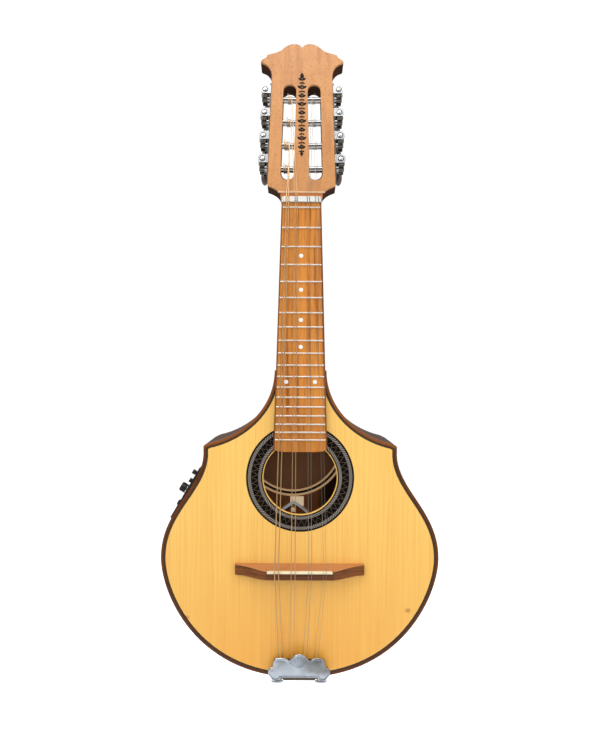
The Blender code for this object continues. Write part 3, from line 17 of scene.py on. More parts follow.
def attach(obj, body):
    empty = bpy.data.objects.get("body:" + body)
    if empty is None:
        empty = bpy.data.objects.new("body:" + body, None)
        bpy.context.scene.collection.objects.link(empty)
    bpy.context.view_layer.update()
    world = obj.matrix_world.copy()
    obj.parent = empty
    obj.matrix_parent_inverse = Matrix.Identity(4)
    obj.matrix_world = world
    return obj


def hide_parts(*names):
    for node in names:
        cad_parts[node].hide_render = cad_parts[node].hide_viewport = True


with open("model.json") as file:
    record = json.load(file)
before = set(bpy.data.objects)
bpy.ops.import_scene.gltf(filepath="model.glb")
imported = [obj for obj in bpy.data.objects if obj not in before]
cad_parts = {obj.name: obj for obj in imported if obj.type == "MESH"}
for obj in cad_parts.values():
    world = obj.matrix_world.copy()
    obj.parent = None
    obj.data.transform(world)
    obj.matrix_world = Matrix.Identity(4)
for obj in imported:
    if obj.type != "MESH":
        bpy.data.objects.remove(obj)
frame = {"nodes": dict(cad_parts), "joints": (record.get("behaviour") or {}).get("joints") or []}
nodes = frame["nodes"]
joints = {joint["name"]: joint for joint in frame["joints"]}
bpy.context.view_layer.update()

# %% [markdown]
# ## Camera
# The picture was taken from straight in front, from about half a metre away. A camera looks along its
# own -Z, so a quarter turn about X points it at +Y. Its focal length is given in pixels of the finished
# picture and turned into millimetres with the sensor's height.

# %% Place the camera
CAMERA_PLACE = (-0.0006, -0.520, -0.1689)
CAMERA_LEAN = 0.005
FOCAL_PIXELS = 528.0
PICTURE_HEIGHT = 746
SENSOR_HEIGHT = 24.0

scene = bpy.context.scene
camera_data = bpy.data.cameras.new("portrait_camera")
camera_data.sensor_fit = "VERTICAL"
camera_data.sensor_height = SENSOR_HEIGHT
camera_data.lens = SENSOR_HEIGHT * FOCAL_PIXELS / PICTURE_HEIGHT
camera_data.clip_start = 0.01
camera = bpy.data.objects.new("portrait_camera", camera_data)
camera.location = CAMERA_PLACE
camera.rotation_euler = (math.pi / 2, -CAMERA_LEAN, 0.0)
scene.collection.objects.link(camera)
scene.camera = camera
scene.view_settings.view_transform = "Standard"
print("lens: %.2f mm" % camera_data.lens)

# %% [markdown]
# ## Arithmetic on sockets
# A shader is a graph, and formulas in a graph are hard to read when each sum is a node made by hand. A
# small class wraps a socket and lets Python's own operators add the Math nodes. A second class holds one
# method that makes any other node from its type, its settings and the values or links of its sockets.

# %% A socket that can be added and multiplied
class Wire:
    """A socket that takes part in plain arithmetic."""

    def __init__(self, socket):
        self.socket = socket

    def math(self, operation, *values):
        tree = Tree(self.socket.id_data)
        return tree.node("Math", {"operation": operation}, dict(enumerate(values)))

    def __add__(self, other):
        return self.math("ADD", self, other)

    def __radd__(self, other):
        return self.math("ADD", other, self)

    def __sub__(self, other):
        return self.math("SUBTRACT", self, other)

    def __rsub__(self, other):
        return self.math("SUBTRACT", other, self)

    def __mul__(self, other):
        return self.math("MULTIPLY", self, other)

    def __rmul__(self, other):
        return self.math("MULTIPLY", other, self)

    def __truediv__(self, other):
        return self.math("DIVIDE", self, other)

    def __pow__(self, other):
        return self.math("POWER", self, other)

    def __rpow__(self, other):
        return self.math("POWER", other, self)

    def __abs__(self):
        return self.math("ABSOLUTE", self)

    def __gt__(self, other):
        return self.math("GREATER_THAN", self, other)

    def __mod__(self, other):
        return self.math("FLOORED_MODULO", self, other)

    def held(self):
        """The value kept between 0 and 1."""
        return self.math("MINIMUM", self.math("MAXIMUM", self, 0.0), 1.0)


class Tree:
    """A node tree, with one method that makes any node in it."""

    def __init__(self, tree):
        self.tree = tree

    def node(self, kind, settings=None, sockets=None, output=0):
        full = kind if kind.startswith(("Geometry", "Function", "Shader")) else "ShaderNode" + kind
        made = self.tree.nodes.new(full)
        for name, value in (settings or {}).items():
            setattr(made, name, value)
        for name, value in (sockets or {}).items():
            self.connect(value, made.inputs[name])
        return Wire(made.outputs[output])

    def connect(self, value, socket):
        if isinstance(value, Wire):
            self.tree.links.new(value.socket, socket)
        else:
            socket.default_value = value

    def mix(self, share, first, second):
        """A colour between two others."""
        return self.node("Mix", {"data_type": "RGBA"}, {0: share, 6: first, 7: second}, 2)

    def parts(self, vector):
        """The three numbers of a vector."""
        split = self.node("SeparateXYZ", {}, {0: vector})
        return [Wire(socket) for socket in split.socket.node.outputs]

    def vector(self, x, y, z):
        return self.node("CombineXYZ", {}, {0: x, 1: y, 2: z})

    def noise(self, vector, scale=1.0, detail=2.0, roughness=0.5):
        return self.node("TexNoise", {}, {"Vector": vector, "Scale": scale, "Detail": detail,
                                          "Roughness": roughness})


# %% [markdown]
# ## Light
# The photograph has a pure white ground and soft light from above and in front. The world gives an even
# light that is darker behind the camera and below, so that polished metal has something dark to reflect,
# and it looks plain white to the camera. Large area lights make the soft shadows and highlights: a key at
# the left, a weaker one at the right, and a strip overhead that puts the white line on posts and rims. A
# last one in front fills the sound hole, and metal doesn't show it.

# %% World and lights
AMBIENT = 0.36
OVERHEAD = 0.36
SHADED = 0.85

world = bpy.data.worlds.new("studio")
world.use_nodes = True
scene.world = world
sky = Tree(world.node_tree)
toward_y, toward_z = sky.parts(sky.node("TexCoord", output="Generated"))[1:]
above = (toward_z * 1.7 - 0.35).held()
front_shade = (toward_y * -1.0 - 0.30).held() * SHADED * (1.0 - above)
low_shade = (toward_z * -1.4).held() * SHADED
high = (toward_z * 2.0 - 0.8).held()
level = (1.0 - front_shade) * (1.0 - low_shade) * AMBIENT + high * OVERHEAD
studio = sky.node("Background", {}, {"Color": (1.0, 1.0, 1.0, 1.0), "Strength": level})
paper_white = sky.node("Background", {}, {"Color": (1.0, 1.0, 1.0, 1.0), "Strength": 1.05})
seen = sky.node("LightPath", output="Is Camera Ray")
both = sky.node("MixShader", {}, {0: seen, 1: studio, 2: paper_white})
sky.connect(both, world.node_tree.nodes["World Output"].inputs["Surface"])


def area_light(name, place, target, size, power, colour=(1.0, 1.0, 1.0)):
    data = bpy.data.lights.new(name, "AREA")
    data.shape = "RECTANGLE"
    data.size, data.size_y = size
    data.energy = power
    data.color = colour
    light = bpy.data.objects.new(name, data)
    light.location = place
    light.rotation_euler = (Vector(target) - Vector(place)).to_track_quat("-Z", "Y").to_euler()
    scene.collection.objects.link(light)
    return light


area_light("key_light", (-0.80, -0.90, 0.80), (0.0, 0.0, -0.15), (0.7, 0.7), 7.4, (1.0, 0.985, 0.96))
area_light("fill_light", (0.95, -0.75, 0.10), (0.0, 0.0, -0.2), (0.7, 0.9), 3.6, (0.96, 0.98, 1.0))
area_light("strip_light", (0.0, -0.45, 1.05), (0.0, 0.0, 0.0), (1.4, 0.4), 8.0)
front_light = area_light("front_light", (0.05, -1.25, -0.05), (0.0, 0.0, -0.2), (0.8, 0.8), 3.5)
front_light.visible_glossy = False


# %% [markdown]
# ## Finishes
# A finish is a material that is being put together around one Principled shader. Colours are given as
# they look on a screen, 0 to 255, and turned into the linear values that Blender computes with. Patterns
# read Object coordinates: every piece stays at the origin, so these are plain metres on the instrument.

# %% A finish
def paint(red, green, blue):
    """A screen colour as a linear colour."""
    linear = []
    for value in (red, green, blue):
        share = value / 255
        linear.append(share / 12.92 if share <= 0.04045 else ((share + 0.055) / 1.055) ** 2.4)
    return (*linear, 1.0)


class Finish(Tree):
    """A material under construction."""

    count = 0

    def __init__(self, name, **sockets):
        Finish.count += 1
        self.material = bpy.data.materials.new(name)
        self.material.use_nodes = True
        super().__init__(self.material.node_tree)
        self.shader = self.tree.nodes["Principled BSDF"]
        self.shade(**sockets)

    def shade(self, **sockets):
        """Fills the shader's sockets. A name's underscores stand for spaces."""
        for name, value in sockets.items():
            self.connect(value, self.shader.inputs[name.replace("_", " ")])
        return self

    def over(self, share, colour):
        """Lays another colour over the present one, as strongly as the share says."""
        self.colour = self.mix(share, self.colour, colour)
        self.shade(Base_Color=self.colour)

    def place(self, scale=(1.0, 1.0, 1.0), turn=(0.0, 0.0, 0.0)):
        """Object coordinates, turned and scaled."""
        source = self.node("TexCoord", output="Object")
        return self.node("Mapping", {}, {"Vector": source, "Rotation": turn, "Scale": scale})

    def bump(self, height, strength, distance):
        return self.node("Bump", {}, {"Strength": strength, "Distance": distance, "Height": height})


# %% [markdown]
# ## Wood
# Wood shows three things at once: growth rings that run with the grain, fine pores, and slow changes of
# tone. All three are noise, stretched along the grain: a ring pattern is noise that changes fast across
# the board and hardly at all along it. The grain runs along Z here, and a turn lays it another way. A
# mirrored board is cut open like a book, so both halves show the same figure. A bent strip's grain runs
# round a centre instead: how far along it a place is comes from its angle and its distance there.

# %% A wood finish
PORE_WIDTH, PORE_LENGTH = 0.00045, 0.011


def wood(name, pale, dark, ring=0.0016, rings=0.55, pores=0.3, tone=0.3, turn=(0.0, 0.0, 0.0),
         mirrored=False, roughness=0.34, coat=0.25, length=40.0, relief=0.00006, bent_round=None):
    """Ring is the spacing of the growth rings; rings, pores and tone say how strongly each shows."""
    made = Finish(name, Coat_Weight=coat, Coat_Roughness=0.12)
    x, y, z = made.parts(made.place(turn=turn))
    if bent_round:
        centre_z, radius = bent_round
        up = z - centre_z
        turned = x.math("ARCTAN2", abs(x), up)
        x, y, z = y, x * 0.0, turned * radius - (x * x + up * up) ** 0.5
    if mirrored:
        x = abs(x)
    drift = made.noise(made.vector(x * 14.0, y * 14.0, z * 5.0), detail=1.0) - 0.5
    across = x + drift * (ring * 2.4)
    figure = made.noise(made.vector(across / ring, y / (ring * 2.0), z / (ring * length)), detail=2.0)
    lines = ((figure - 0.46) * 5.0).held()
    fine = made.noise(made.vector(x / PORE_WIDTH, y / PORE_WIDTH, z / PORE_LENGTH), detail=1.0)
    pits = ((fine - 0.56) * 7.0).held()
    slow = made.noise(made.vector(x * 38.0, y * 38.0, z * 9.0), detail=2.0)
    shade = (lines * rings + (slow - 0.4) * tone + pits * pores).held()
    made.across = x
    made.colour = made.mix(shade, pale, dark)
    made.shade(Base_Color=made.colour, Roughness=roughness + pits * 0.12 + lines * 0.04,
               Normal=made.bump(pits * -0.6 + lines * 0.2, 0.35, relief))
    return made


# %% [markdown]
# The soundboard is spruce, split and opened along the centre line. Its rings are about a millimetre and
# a half apart. The varnish has gone more orange towards the middle and the tail, and two small knots
# show near the lower bouts.

# %% Spruce for the soundboard
KNOTS = ((-0.1109, -0.4102, 0.0026), (0.1068, -0.4023, 0.0030), (0.1150, -0.4080, 0.0016))
AMBER_HALF_WIDTH = 0.105
AMBER_FROM_Z, AMBER_FADE = -0.300, 0.150

spruce = wood("spruce", paint(251, 203, 106), paint(232, 154, 60), ring=0.0015, rings=0.34, pores=0.10,
              tone=0.35, mirrored=True, roughness=0.38, coat=0.18, length=90.0, relief=0.00003)
straight_x, straight_z = spruce.parts(spruce.place())[::2]
middle = (1.0 - spruce.across / AMBER_HALF_WIDTH).held()
low_part = ((straight_z - AMBER_FROM_Z) / -AMBER_FADE).held()
amber = (middle * 0.14 * (0.35 + low_part) + low_part * 0.44).held()
streaks = spruce.noise(spruce.vector(straight_x * 210.0, 0.0, straight_z * 2.5), detail=1.0)
amber = (amber * (0.55 + streaks)).held()
spruce.over(amber, paint(236, 156, 44))
for knot_x, knot_z, knot_radius in KNOTS:
    off_x = (straight_x - knot_x) / knot_radius
    off_z = (straight_z - knot_z) / (knot_radius * 0.8)
    reach = (off_x * off_x + off_z * off_z) ** 0.5
    heart = (1.3 - reach).held()
    spruce.over(heart * 0.7, paint(176, 98, 40))
print("knots:", len(KNOTS))

# %% [markdown]
# The back and the ribs are walnut. The back is bookmatched as the soundboard is, and the ribs' grain
# follows their bend. Inside, the back is raw and paler, and also painted paler as light from the sound hole;
# the part that the hole's light doesn't reach is painted nearly black as shade. The neck is cedar, darkened
# from the headstock on by a stain and by painted shade on the headstock's sides.

# %% Walnut and cedar
BODY_DEPTH = 0.0780
BODY_BEND = (-0.345, 0.125)
RAW_DEPTH, RAW_EDGE = 0.0012, 0.0004
UNLIT_FROM_X, UNLIT_EDGE = 0.0200, 0.0060
HEAD_DARK_FROM_Z, HEAD_DARK_FROM_X, HEAD_DARK_EDGE = 0.0095, 0.0205, 0.0008
SIDE_DARK_FROM_Z = 0.0030

walnut = wood("walnut", paint(142, 90, 54), paint(66, 38, 20), ring=0.0040, rings=0.55, pores=0.35, tone=0.5,
              mirrored=True, coat=0.12, length=40.0)
walnut_x, walnut_y = walnut.parts(walnut.place())[:2]
# Raw wood, and painted light: the inner face of the back is paler.
inside = ((BODY_DEPTH - RAW_DEPTH - walnut_y) / RAW_EDGE).held()
walnut.over(inside * 0.6, paint(176, 108, 64))
# Painted shade: towards the treble side, where the hole's light doesn't reach, the inner face is nearly
# black.
unlit = inside * ((walnut_x - UNLIT_FROM_X) / UNLIT_EDGE).held()
walnut.over(unlit * 0.9, paint(26, 18, 16))
walnut.shade(Specular_IOR_Level=0.25)
side_walnut = wood("side_walnut", paint(92, 63, 42), paint(46, 29, 18), ring=0.0040, rings=0.5, pores=0.30,
                   tone=0.4, coat=0.0, length=30.0, bent_round=BODY_BEND)
side_walnut.shade(Specular_IOR_Level=0.05)
cedar = wood("cedar", paint(214, 134, 74), paint(150, 82, 40), ring=0.0030, rings=0.4, pores=0.5, tone=0.4)
# A dark stain and painted shade: the headstock above the nut, and the sides beside the nut, go dark.
neck_x, neck_z = cedar.parts(cedar.place())[::2]
above_nut = ((neck_z - HEAD_DARK_FROM_Z) / HEAD_DARK_EDGE).held()
beside_nut = ((abs(neck_x) - HEAD_DARK_FROM_X) / HEAD_DARK_EDGE).held() * (neck_z > SIDE_DARK_FROM_Z)
stain_and_shade = above_nut.math("MAXIMUM", above_nut, beside_nut)
cedar.over(stain_and_shade * 0.95, paint(40, 18, 8))
cedar.shade(Roughness=0.40 + stain_and_shade * 0.4, Coat_Weight=(1.0 - stain_and_shade) * 0.2, Specular_IOR_Level=0.2)
print("nodes in the neck's finish:", len(cedar.tree.nodes))

# %% [markdown]
# The rest are single boards and strips: a pale headstock veneer, a reddish fretboard, a dark bridge, and
# the binding, which is painted a little lighter on its shoulders, where the light from above falls. Linings
# and braces are raw.

# %% Veneer, fretboard, bridge and strips
SHOULDER_FROM_Z, SHOULDER_EDGE = -0.2440, 0.0020

veneer = wood("veneer", paint(206, 146, 88), paint(162, 96, 48), ring=0.0052, rings=0.30, pores=0.34,
              tone=0.75, length=9.0)
rosewood = wood("rosewood", paint(218, 141, 57), paint(138, 70, 26), ring=0.0034, rings=0.62, pores=0.42,
                tone=0.45, coat=0.10, roughness=0.42, length=46.0)
bridge_wood = wood("bridge_wood", paint(128, 74, 32), paint(60, 31, 13), ring=0.0026, rings=0.6, pores=0.5,
                   tone=0.4, turn=(0.0, math.pi / 2, 0.0), coat=0.10, roughness=0.45)
binding_wood = wood("binding", paint(108, 57, 22), paint(56, 27, 10), ring=0.0022, rings=0.5, pores=0.3,
                    tone=0.8, length=20.0, bent_round=BODY_BEND)
# Painted light: the binding's shoulders are lighter, where the light from above falls on them.
shoulder = binding_wood.parts(binding_wood.place())[2]
shoulder = ((shoulder - SHOULDER_FROM_Z) / SHOULDER_EDGE).held()
binding_wood.over(shoulder * 0.30, paint(180, 108, 46))
binding_wood.shade(Specular_IOR_Level=0.2, Coat_Weight=0.08)
lining_wood = wood("lining", paint(206, 160, 110), paint(160, 112, 70), coat=0.0, roughness=0.6)
brace_wood = wood("brace_spruce", paint(226, 188, 134), paint(190, 142, 88), turn=(0.0, math.pi / 2, 0.0),
                  coat=0.0, roughness=0.6)
print("woods:", Finish.count)

# %% [markdown]
# ## Other finishes
# Metal, bone, plastic and paper are plainer, but none is one flat tone: plated metal has faint smears
# that change its gloss, bone has slow cloudy tones, moulded plastic has a fine grain, paper is mottled.
# Two functions make them all: one for bare metal, one for everything else.

# %% Two kinds of plain finish
DULLING = 0.80


def metal(name, colour, roughness, smear=0.10, grain=900.0, relief=0.0):
    made = Finish(name, Metallic=1.0)
    cloud = made.noise(made.place(), scale=60.0, detail=3.0)
    dull = tuple(value * DULLING for value in colour[:3]) + (1.0,)
    made.shade(Base_Color=made.mix((cloud - 0.35).held(), colour, dull), Roughness=roughness + cloud * smear)
    if relief:
        specks = made.noise(made.place(), scale=grain, detail=1.0)
        made.shade(Normal=made.bump(specks, 0.4, relief))
    return made


def plain(name, pale, dark, roughness, scale=90.0, relief=0.00002, grain=1400.0, **sockets):
    made = Finish(name, **sockets)
    cloud = made.noise(made.place(), scale=scale, detail=3.0)
    specks = made.noise(made.place(), scale=grain, detail=1.0)
    made.shade(Base_Color=made.mix(cloud, pale, dark), Roughness=roughness + specks * 0.08,
               Normal=made.bump(specks, 0.3, relief))
    return made


# %% [markdown]
# The metals differ in tone and gloss: plated fittings are bright and smooth; the posts, wheels and worms
# are darker copies of the plated steel, as painted shade; the tailpiece's base is a darker copy of the
# cover's plate, as painted shadow under the cover; and the strings have gone a little dull.

# %% Metals
chrome = metal("chrome", paint(238, 241, 246), 0.08)
lug_metal = metal("lug_metal", paint(228, 230, 234), 0.26)
# Painted shade: the posts, wheels and worms are darker copies of the plated steel.
post_metal = metal("post_metal", paint(190, 189, 188), 0.12)
wheel_metal = metal("wheel_metal", paint(128, 122, 114), 0.22)
worm_metal = metal("worm_metal", paint(108, 102, 95), 0.16)
stamped_plate = metal("stamped_plate", paint(196, 204, 214), 0.20, smear=0.22, grain=500.0, relief=0.00012)
# Painted shadow: the base is a darker copy of the cover's plate, for the shade under the cover.
base_metal = metal("base_metal", paint(122, 110, 98), 0.30, smear=0.2, grain=500.0, relief=0.0001)
fret_metal = metal("fret_metal", paint(240, 238, 232), 0.34)
steel = metal("string_steel", paint(172, 163, 152), 0.30)
brass = metal("brass", paint(206, 172, 96), 0.28)

# %% Bone, plastic and inlay
bone = plain("bone", paint(232, 233, 230), paint(212, 211, 204), 0.36)
saddle_bone = plain("saddle_bone", paint(246, 236, 206), paint(226, 208, 168), 0.36)
pearl = plain("pearl", paint(255, 255, 252), paint(240, 240, 236), 0.25, scale=400.0)
black_plastic = plain("black_plastic", paint(36, 35, 35), paint(22, 21, 21), 0.36, relief=0.00004)
knob_plastic = plain("knob_plastic", paint(46, 42, 40), paint(26, 24, 23), 0.30)
cable_black = plain("cable_black", paint(40, 40, 42), paint(28, 28, 30), 0.45)
battery_case = plain("battery_case", paint(74, 74, 78), paint(58, 58, 62), 0.35, Metallic=0.5)
panel_plastic = plain("panel_plastic", paint(58, 50, 46), paint(34, 30, 28), 0.42, scale=700.0,
                      relief=0.00010, grain=900.0)
button_horn = plain("button_horn", paint(104, 88, 76), paint(70, 58, 50), 0.28, Coat_Weight=0.3)
inlay_ink = plain("inlay_ink", paint(24, 20, 18), paint(14, 12, 11), 0.45, Specular_IOR_Level=0.15)
rosette_black = plain("rosette_black", paint(12, 10, 9), paint(5, 4, 4), 0.60, Specular_IOR_Level=0.08)
rope_ground = plain("rope_ground", paint(34, 30, 28), paint(24, 21, 20), 0.55, Specular_IOR_Level=0.2)
rope_strand = plain("rope_strand", paint(164, 155, 145), paint(134, 125, 117), 0.55, Specular_IOR_Level=0.2)
zigzag_wood = plain("zigzag_wood", paint(140, 114, 86), paint(110, 88, 66), 0.55, Specular_IOR_Level=0.2)
purfling_dark = plain("purfling_dark", paint(52, 38, 28), paint(36, 26, 20), 0.50, Specular_IOR_Level=0.2)
purfling_light = plain("purfling_light", paint(96, 72, 48), paint(76, 56, 38), 0.50)

# %% [markdown]
# What lies inside gets its light through the sound hole alone, and in the photograph it is brighter than
# that light makes it here. So the label's rings, the sticker and the cable glow a little.

# %% Label, sticker and cable finishes
label_paper = plain("label_paper", paint(166, 117, 80), paint(146, 100, 64), 0.80, scale=45.0)
label_tan = plain("label_tan", paint(236, 200, 148), paint(214, 176, 126), 0.75,
                  Emission_Color=paint(236, 190, 140), Emission_Strength=0.28)
label_black = plain("label_black", paint(36, 30, 26), paint(26, 22, 20), 0.70)
label_line = plain("label_line", paint(150, 112, 80), paint(128, 94, 66), 0.75)
sticker = plain("sticker", paint(246, 222, 184), paint(232, 202, 162), 0.60,
                Emission_Color=paint(246, 220, 180), Emission_Strength=0.42)
cable_grey = plain("cable_grey", paint(176, 174, 172), paint(150, 148, 146), 0.50,
                   Emission_Color=paint(176, 176, 178), Emission_Strength=0.42)
# The tan lead and the clip glow as well, as painted light.
cable_tan = plain("cable_tan", paint(196, 120, 62), paint(160, 92, 44), 0.50,
                  Emission_Color=paint(196, 110, 52), Emission_Strength=0.15)
clip_white = plain("clip_white", paint(244, 226, 200), paint(226, 204, 176), 0.45,
                   Emission_Color=paint(244, 214, 176), Emission_Strength=0.35)
print("finishes:", Finish.count)

# %% [markdown]
# The four bass strings are wound: a thin bronze wire runs round a steel core. Its turns are far too fine
# to model over a third of a metre, so they are a fine ripple along the string's own length.

# %% Wound wire
WRAP_PITCH = 0.00032

bronze = metal("string_bronze", paint(222, 186, 138), 0.30)
string_z = bronze.parts(bronze.place())[2]
wraps = abs(((string_z / WRAP_PITCH) % 1.0) - 0.5) * 2.0
bronze.shade(Normal=bronze.bump(wraps, 0.5, 0.00005))
print("turns of wire in a millimetre: %.1f" % (0.001 / WRAP_PITCH))


# %% [markdown]
# ## Shapes
# A few helpers make nearly every mesh. A curve is four control points, and a loft skins rings of points.

# %% Curves and lofts
def bezier(p0, p1, p2, p3, steps, last=False):
    points = []
    for i in range(steps + (1 if last else 0)):
        t = i / steps
        u = 1.0 - t
        weights = (u ** 3, 3 * u * u * t, 3 * u * t * t, t ** 3)
        points.append(tuple(sum(w * p[k] for w, p in zip(weights, (p0, p1, p2, p3))) for k in (0, 1)))
    return points


def row(bm, points):
    return [bm.verts.new(point) for point in points]


def skin(bm, lower, upper):
    for i in range(len(lower)):
        j = (i + 1) % len(lower)
        bm.faces.new((lower[i], lower[j], upper[j], upper[i]))


def loft(rings, bm=None):
    """Skin through closed rings of equal count, with a flat cap at each end."""
    bm = bm or bmesh.new()
    rows = [row(bm, ring) for ring in rings]
    for lower, upper in zip(rows, rows[1:]):
        skin(bm, lower, upper)
    bm.faces.new(rows[0])
    bm.faces.new(rows[-1][::-1])
    return bm


# %% [markdown]
# A lathe turns a profile round an axis, a pierced plate is a flat outline with holes, and a brick is a
# loft between two rectangles.

# %% Turned and pierced shapes
def ring_points(place, radius, along, sides=24):
    angles = [math.tau * k / sides for k in range(sides)]
    return [place @ Vector((radius * math.cos(a), radius * math.sin(a), along)) for a in angles]


def lathe(profile, sides, place=None, bm=None, closed=False):
    """A profile of (along, radius) pairs turned round the Z axis of a place. A closed one is a ring."""
    bm = bm or bmesh.new()
    place = place or Matrix.Identity(4)
    rows = []
    for along, radius in profile:
        if radius == 0.0:
            rows.append([bm.verts.new(place @ Vector((0.0, 0.0, along)))])
        else:
            rows.append(row(bm, ring_points(place, radius, along, sides)))
    pairs = list(zip(rows, rows[1:] + rows[:1])) if closed else list(zip(rows, rows[1:]))
    for lower, upper in pairs:
        if len(lower) == 1 or len(upper) == 1:
            tip, ring = (lower[0], upper) if len(lower) == 1 else (upper[0], lower)
            for i in range(sides):
                bm.faces.new((tip, ring[i], ring[(i + 1) % sides]))
        else:
            skin(bm, lower, upper)
    if not closed:
        for ring in (rows[0], rows[-1]):
            if len(ring) > 1:
                bm.faces.new(ring)
    return bm


def fill(bm, loops):
    """Fills the flat region between an outer loop and the loops of its holes."""
    edges = []
    for loop in loops:
        for first, second in zip(loop, loop[1:] + loop[:1]):
            edges.append(bm.edges.get((first, second)) or bm.edges.new((first, second)))
    bmesh.ops.triangle_fill(bm, use_beauty=True, use_dissolve=False, edges=edges)


def pierced(outer, holes, bm=None):
    """A plate with holes. The outer wall and each hole are lists of loops from the front to the back."""
    bm = bm or bmesh.new()
    walls = [[row(bm, loop) for loop in wall] for wall in [outer] + holes]
    for wall in walls:
        for lower, upper in zip(wall, wall[1:]):
            skin(bm, lower, upper)
    fill(bm, [wall[0] for wall in walls])
    fill(bm, [wall[-1] for wall in walls])
    return bm


def brick(low, high, bm=None, place=None):
    """A box between two corners, in a place of its own."""
    place = place or Matrix.Identity(4)
    corners = ((low[0], low[1]), (high[0], low[1]), (high[0], high[1]), (low[0], high[1]))
    return loft([[place @ Vector((x, y, z)) for x, y in corners] for z in (low[2], high[2])], bm)


# %% [markdown]
# Each finished piece has its doubles merged and its faces turned outwards. Its modifiers are run at once
# and their result kept as a plain mesh.

# %% Pieces
def object_of(name, bm, finish, smooth=35.0):
    bmesh.ops.remove_doubles(bm, verts=bm.verts, dist=1e-7)
    bmesh.ops.recalc_face_normals(bm, faces=bm.faces)
    mesh = bpy.data.meshes.new(name)
    bm.to_mesh(mesh)
    bm.free()
    mesh.shade_smooth()
    mesh.set_sharp_from_angle(angle=math.radians(smooth))
    made = bpy.data.objects.new(name, mesh)
    mesh.materials.append(finish.material)
    scene.collection.objects.link(made)
    return made


def settle(made):
    """Swaps an object's mesh for what its modifiers make of it."""
    graph = bpy.context.evaluated_depsgraph_get()
    mesh = bpy.data.meshes.new_from_object(made.evaluated_get(graph))
    made.modifiers.clear()
    made.data = mesh
    return made


def soften(made, width, angle=38.0):
    """Rounds the sharp edges, as sanding or plating does."""
    bevel = made.modifiers.new("soft_edges", "BEVEL")
    bevel.width = width
    bevel.segments = 2
    bevel.limit_method = "ANGLE"
    bevel.angle_limit = math.radians(angle)
    bevel.harden_normals = True
    bevel.use_clamp_overlap = True
    return settle(made)


def cut(made, tool, operation="DIFFERENCE"):
    """Cuts a tool away from an object, or joins it on, and removes the tool."""
    modifier = made.modifiers.new("cut", "BOOLEAN")
    modifier.operation = operation
    modifier.solver = "EXACT"
    modifier.object = tool
    settle(made)
    bpy.data.objects.remove(tool)
    return made


# %% [markdown]
# A piece rides on one body of the model, which carries it at every pose, and it may stand in for the
# solids that it covers. A solid that stays only gets a better material, and one that needs no more than
# softer edges is copied first.

# %% Pieces on their bodies
def mount(made, body="instrument", instead_of=()):
    """Puts a finished piece on its body."""
    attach(made, body)
    if instead_of:
        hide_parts(*instead_of)
    print("%-24s %6d faces" % (made.name, len(made.data.polygons)))
    return made


def dress(node, finish):
    """Gives a solid that stays a better material."""
    for slot in nodes[node].material_slots:
        slot.link = "OBJECT"
        slot.material = finish.material


def refined(node, name, finish, width, body="instrument"):
    """A copy of a solid with its triangles merged into flat faces and its edges softened."""
    bm = bmesh.new()
    bm.from_mesh(nodes[node].data)
    bmesh.ops.remove_doubles(bm, verts=bm.verts, dist=1e-6)
    bmesh.ops.dissolve_limit(bm, angle_limit=math.radians(0.5), verts=bm.verts, edges=bm.edges)
    for face in bm.faces:
        face.material_index = 0
    return mount(soften(object_of(name, bm, finish, 30.0), width), body, (node,))


# %% [markdown]
# ## Geometry Nodes
# What repeats by a rule is left to Geometry Nodes: frets, rope inlay, zigzag, strings, rays, beads and
# grip ribs. Each recipe is a tree with named inputs. It is run once on a carrier object, its instances
# are realised and given their material, and the result is kept as a plain mesh.

# %% A recipe
class Recipe(Tree):
    """A Geometry Nodes tree with named inputs that is run once."""

    def __init__(self, name):
        self.group = bpy.data.node_groups.new(name, "GeometryNodeTree")
        super().__init__(self.group)
        self.group.interface.new_socket("Geometry", in_out="OUTPUT", socket_type="NodeSocketGeometry")
        self.group.interface.new_socket("Geometry", in_out="INPUT", socket_type="NodeSocketGeometry")
        self.source = self.group.nodes.new("NodeGroupInput")
        self.values = {}

    def input(self, name, value, kind="Float"):
        made = self.group.interface.new_socket(name, in_out="INPUT", socket_type="NodeSocket" + kind)
        self.values[made.identifier] = value
        return Wire(self.source.outputs[name])

    def path(self):
        """The carrier's edges as a curve."""
        return self.node("GeometryNodeMeshToCurve", {}, {0: Wire(self.source.outputs["Geometry"])})

    def run(self, geometry, finish, carrier=None, smooth=35.0):
        real = self.node("GeometryNodeRealizeInstances", {}, {0: geometry})
        done = self.node("GeometryNodeSetMaterial", {}, {"Geometry": real, "Material": finish.material})
        end = self.group.nodes.new("NodeGroupOutput")
        self.connect(done, end.inputs[0])
        mesh = carrier or bpy.data.meshes.new(self.group.name)
        made = bpy.data.objects.new(self.group.name, mesh)
        scene.collection.objects.link(made)
        modifier = made.modifiers.new("recipe", "NODES")
        modifier.node_group = self.group
        for identifier, value in self.values.items():
            modifier[identifier] = value
        settle(made)
        made.data.shade_smooth()
        made.data.set_sharp_from_angle(angle=math.radians(smooth))
        return made


def polyline(name, points):
    """A mesh of edges through points, for a recipe to follow."""
    mesh = bpy.data.meshes.new(name)
    mesh.from_pydata([tuple(point) for point in points], [(i, i + 1) for i in range(len(points) - 1)], [])
    return mesh


# %% [markdown]
# ## Body outline
# The body's half outline is a hollow shoulder that runs out to a point, a short cut under the point, a
# flank that swells to the widest place, and a full curve round the tail. The sizes are the model's own.
# A band between two distances from the outline, swept round the whole body, makes the bindings, the
# purfling and the ribs.

# %% The outline and bands along it
GLUE_GAP = 0.0003
NECK_JOINT_Z = -0.1660
NECK_JOINT_HALF_WIDTH = 0.0256
SHOULDER_HALF_WIDTH = 0.0955
SHOULDER_Z = -0.2412
WAIST_HALF_WIDTH = 0.0954
WAIST_Z = -0.2500
BOUT_HALF_WIDTH = 0.1370
BOUT_Z = -0.3510
TAIL_Z = -0.4693
TOP_THICKNESS = 0.0025
BODY_START_Z = NECK_JOINT_Z - GLUE_GAP


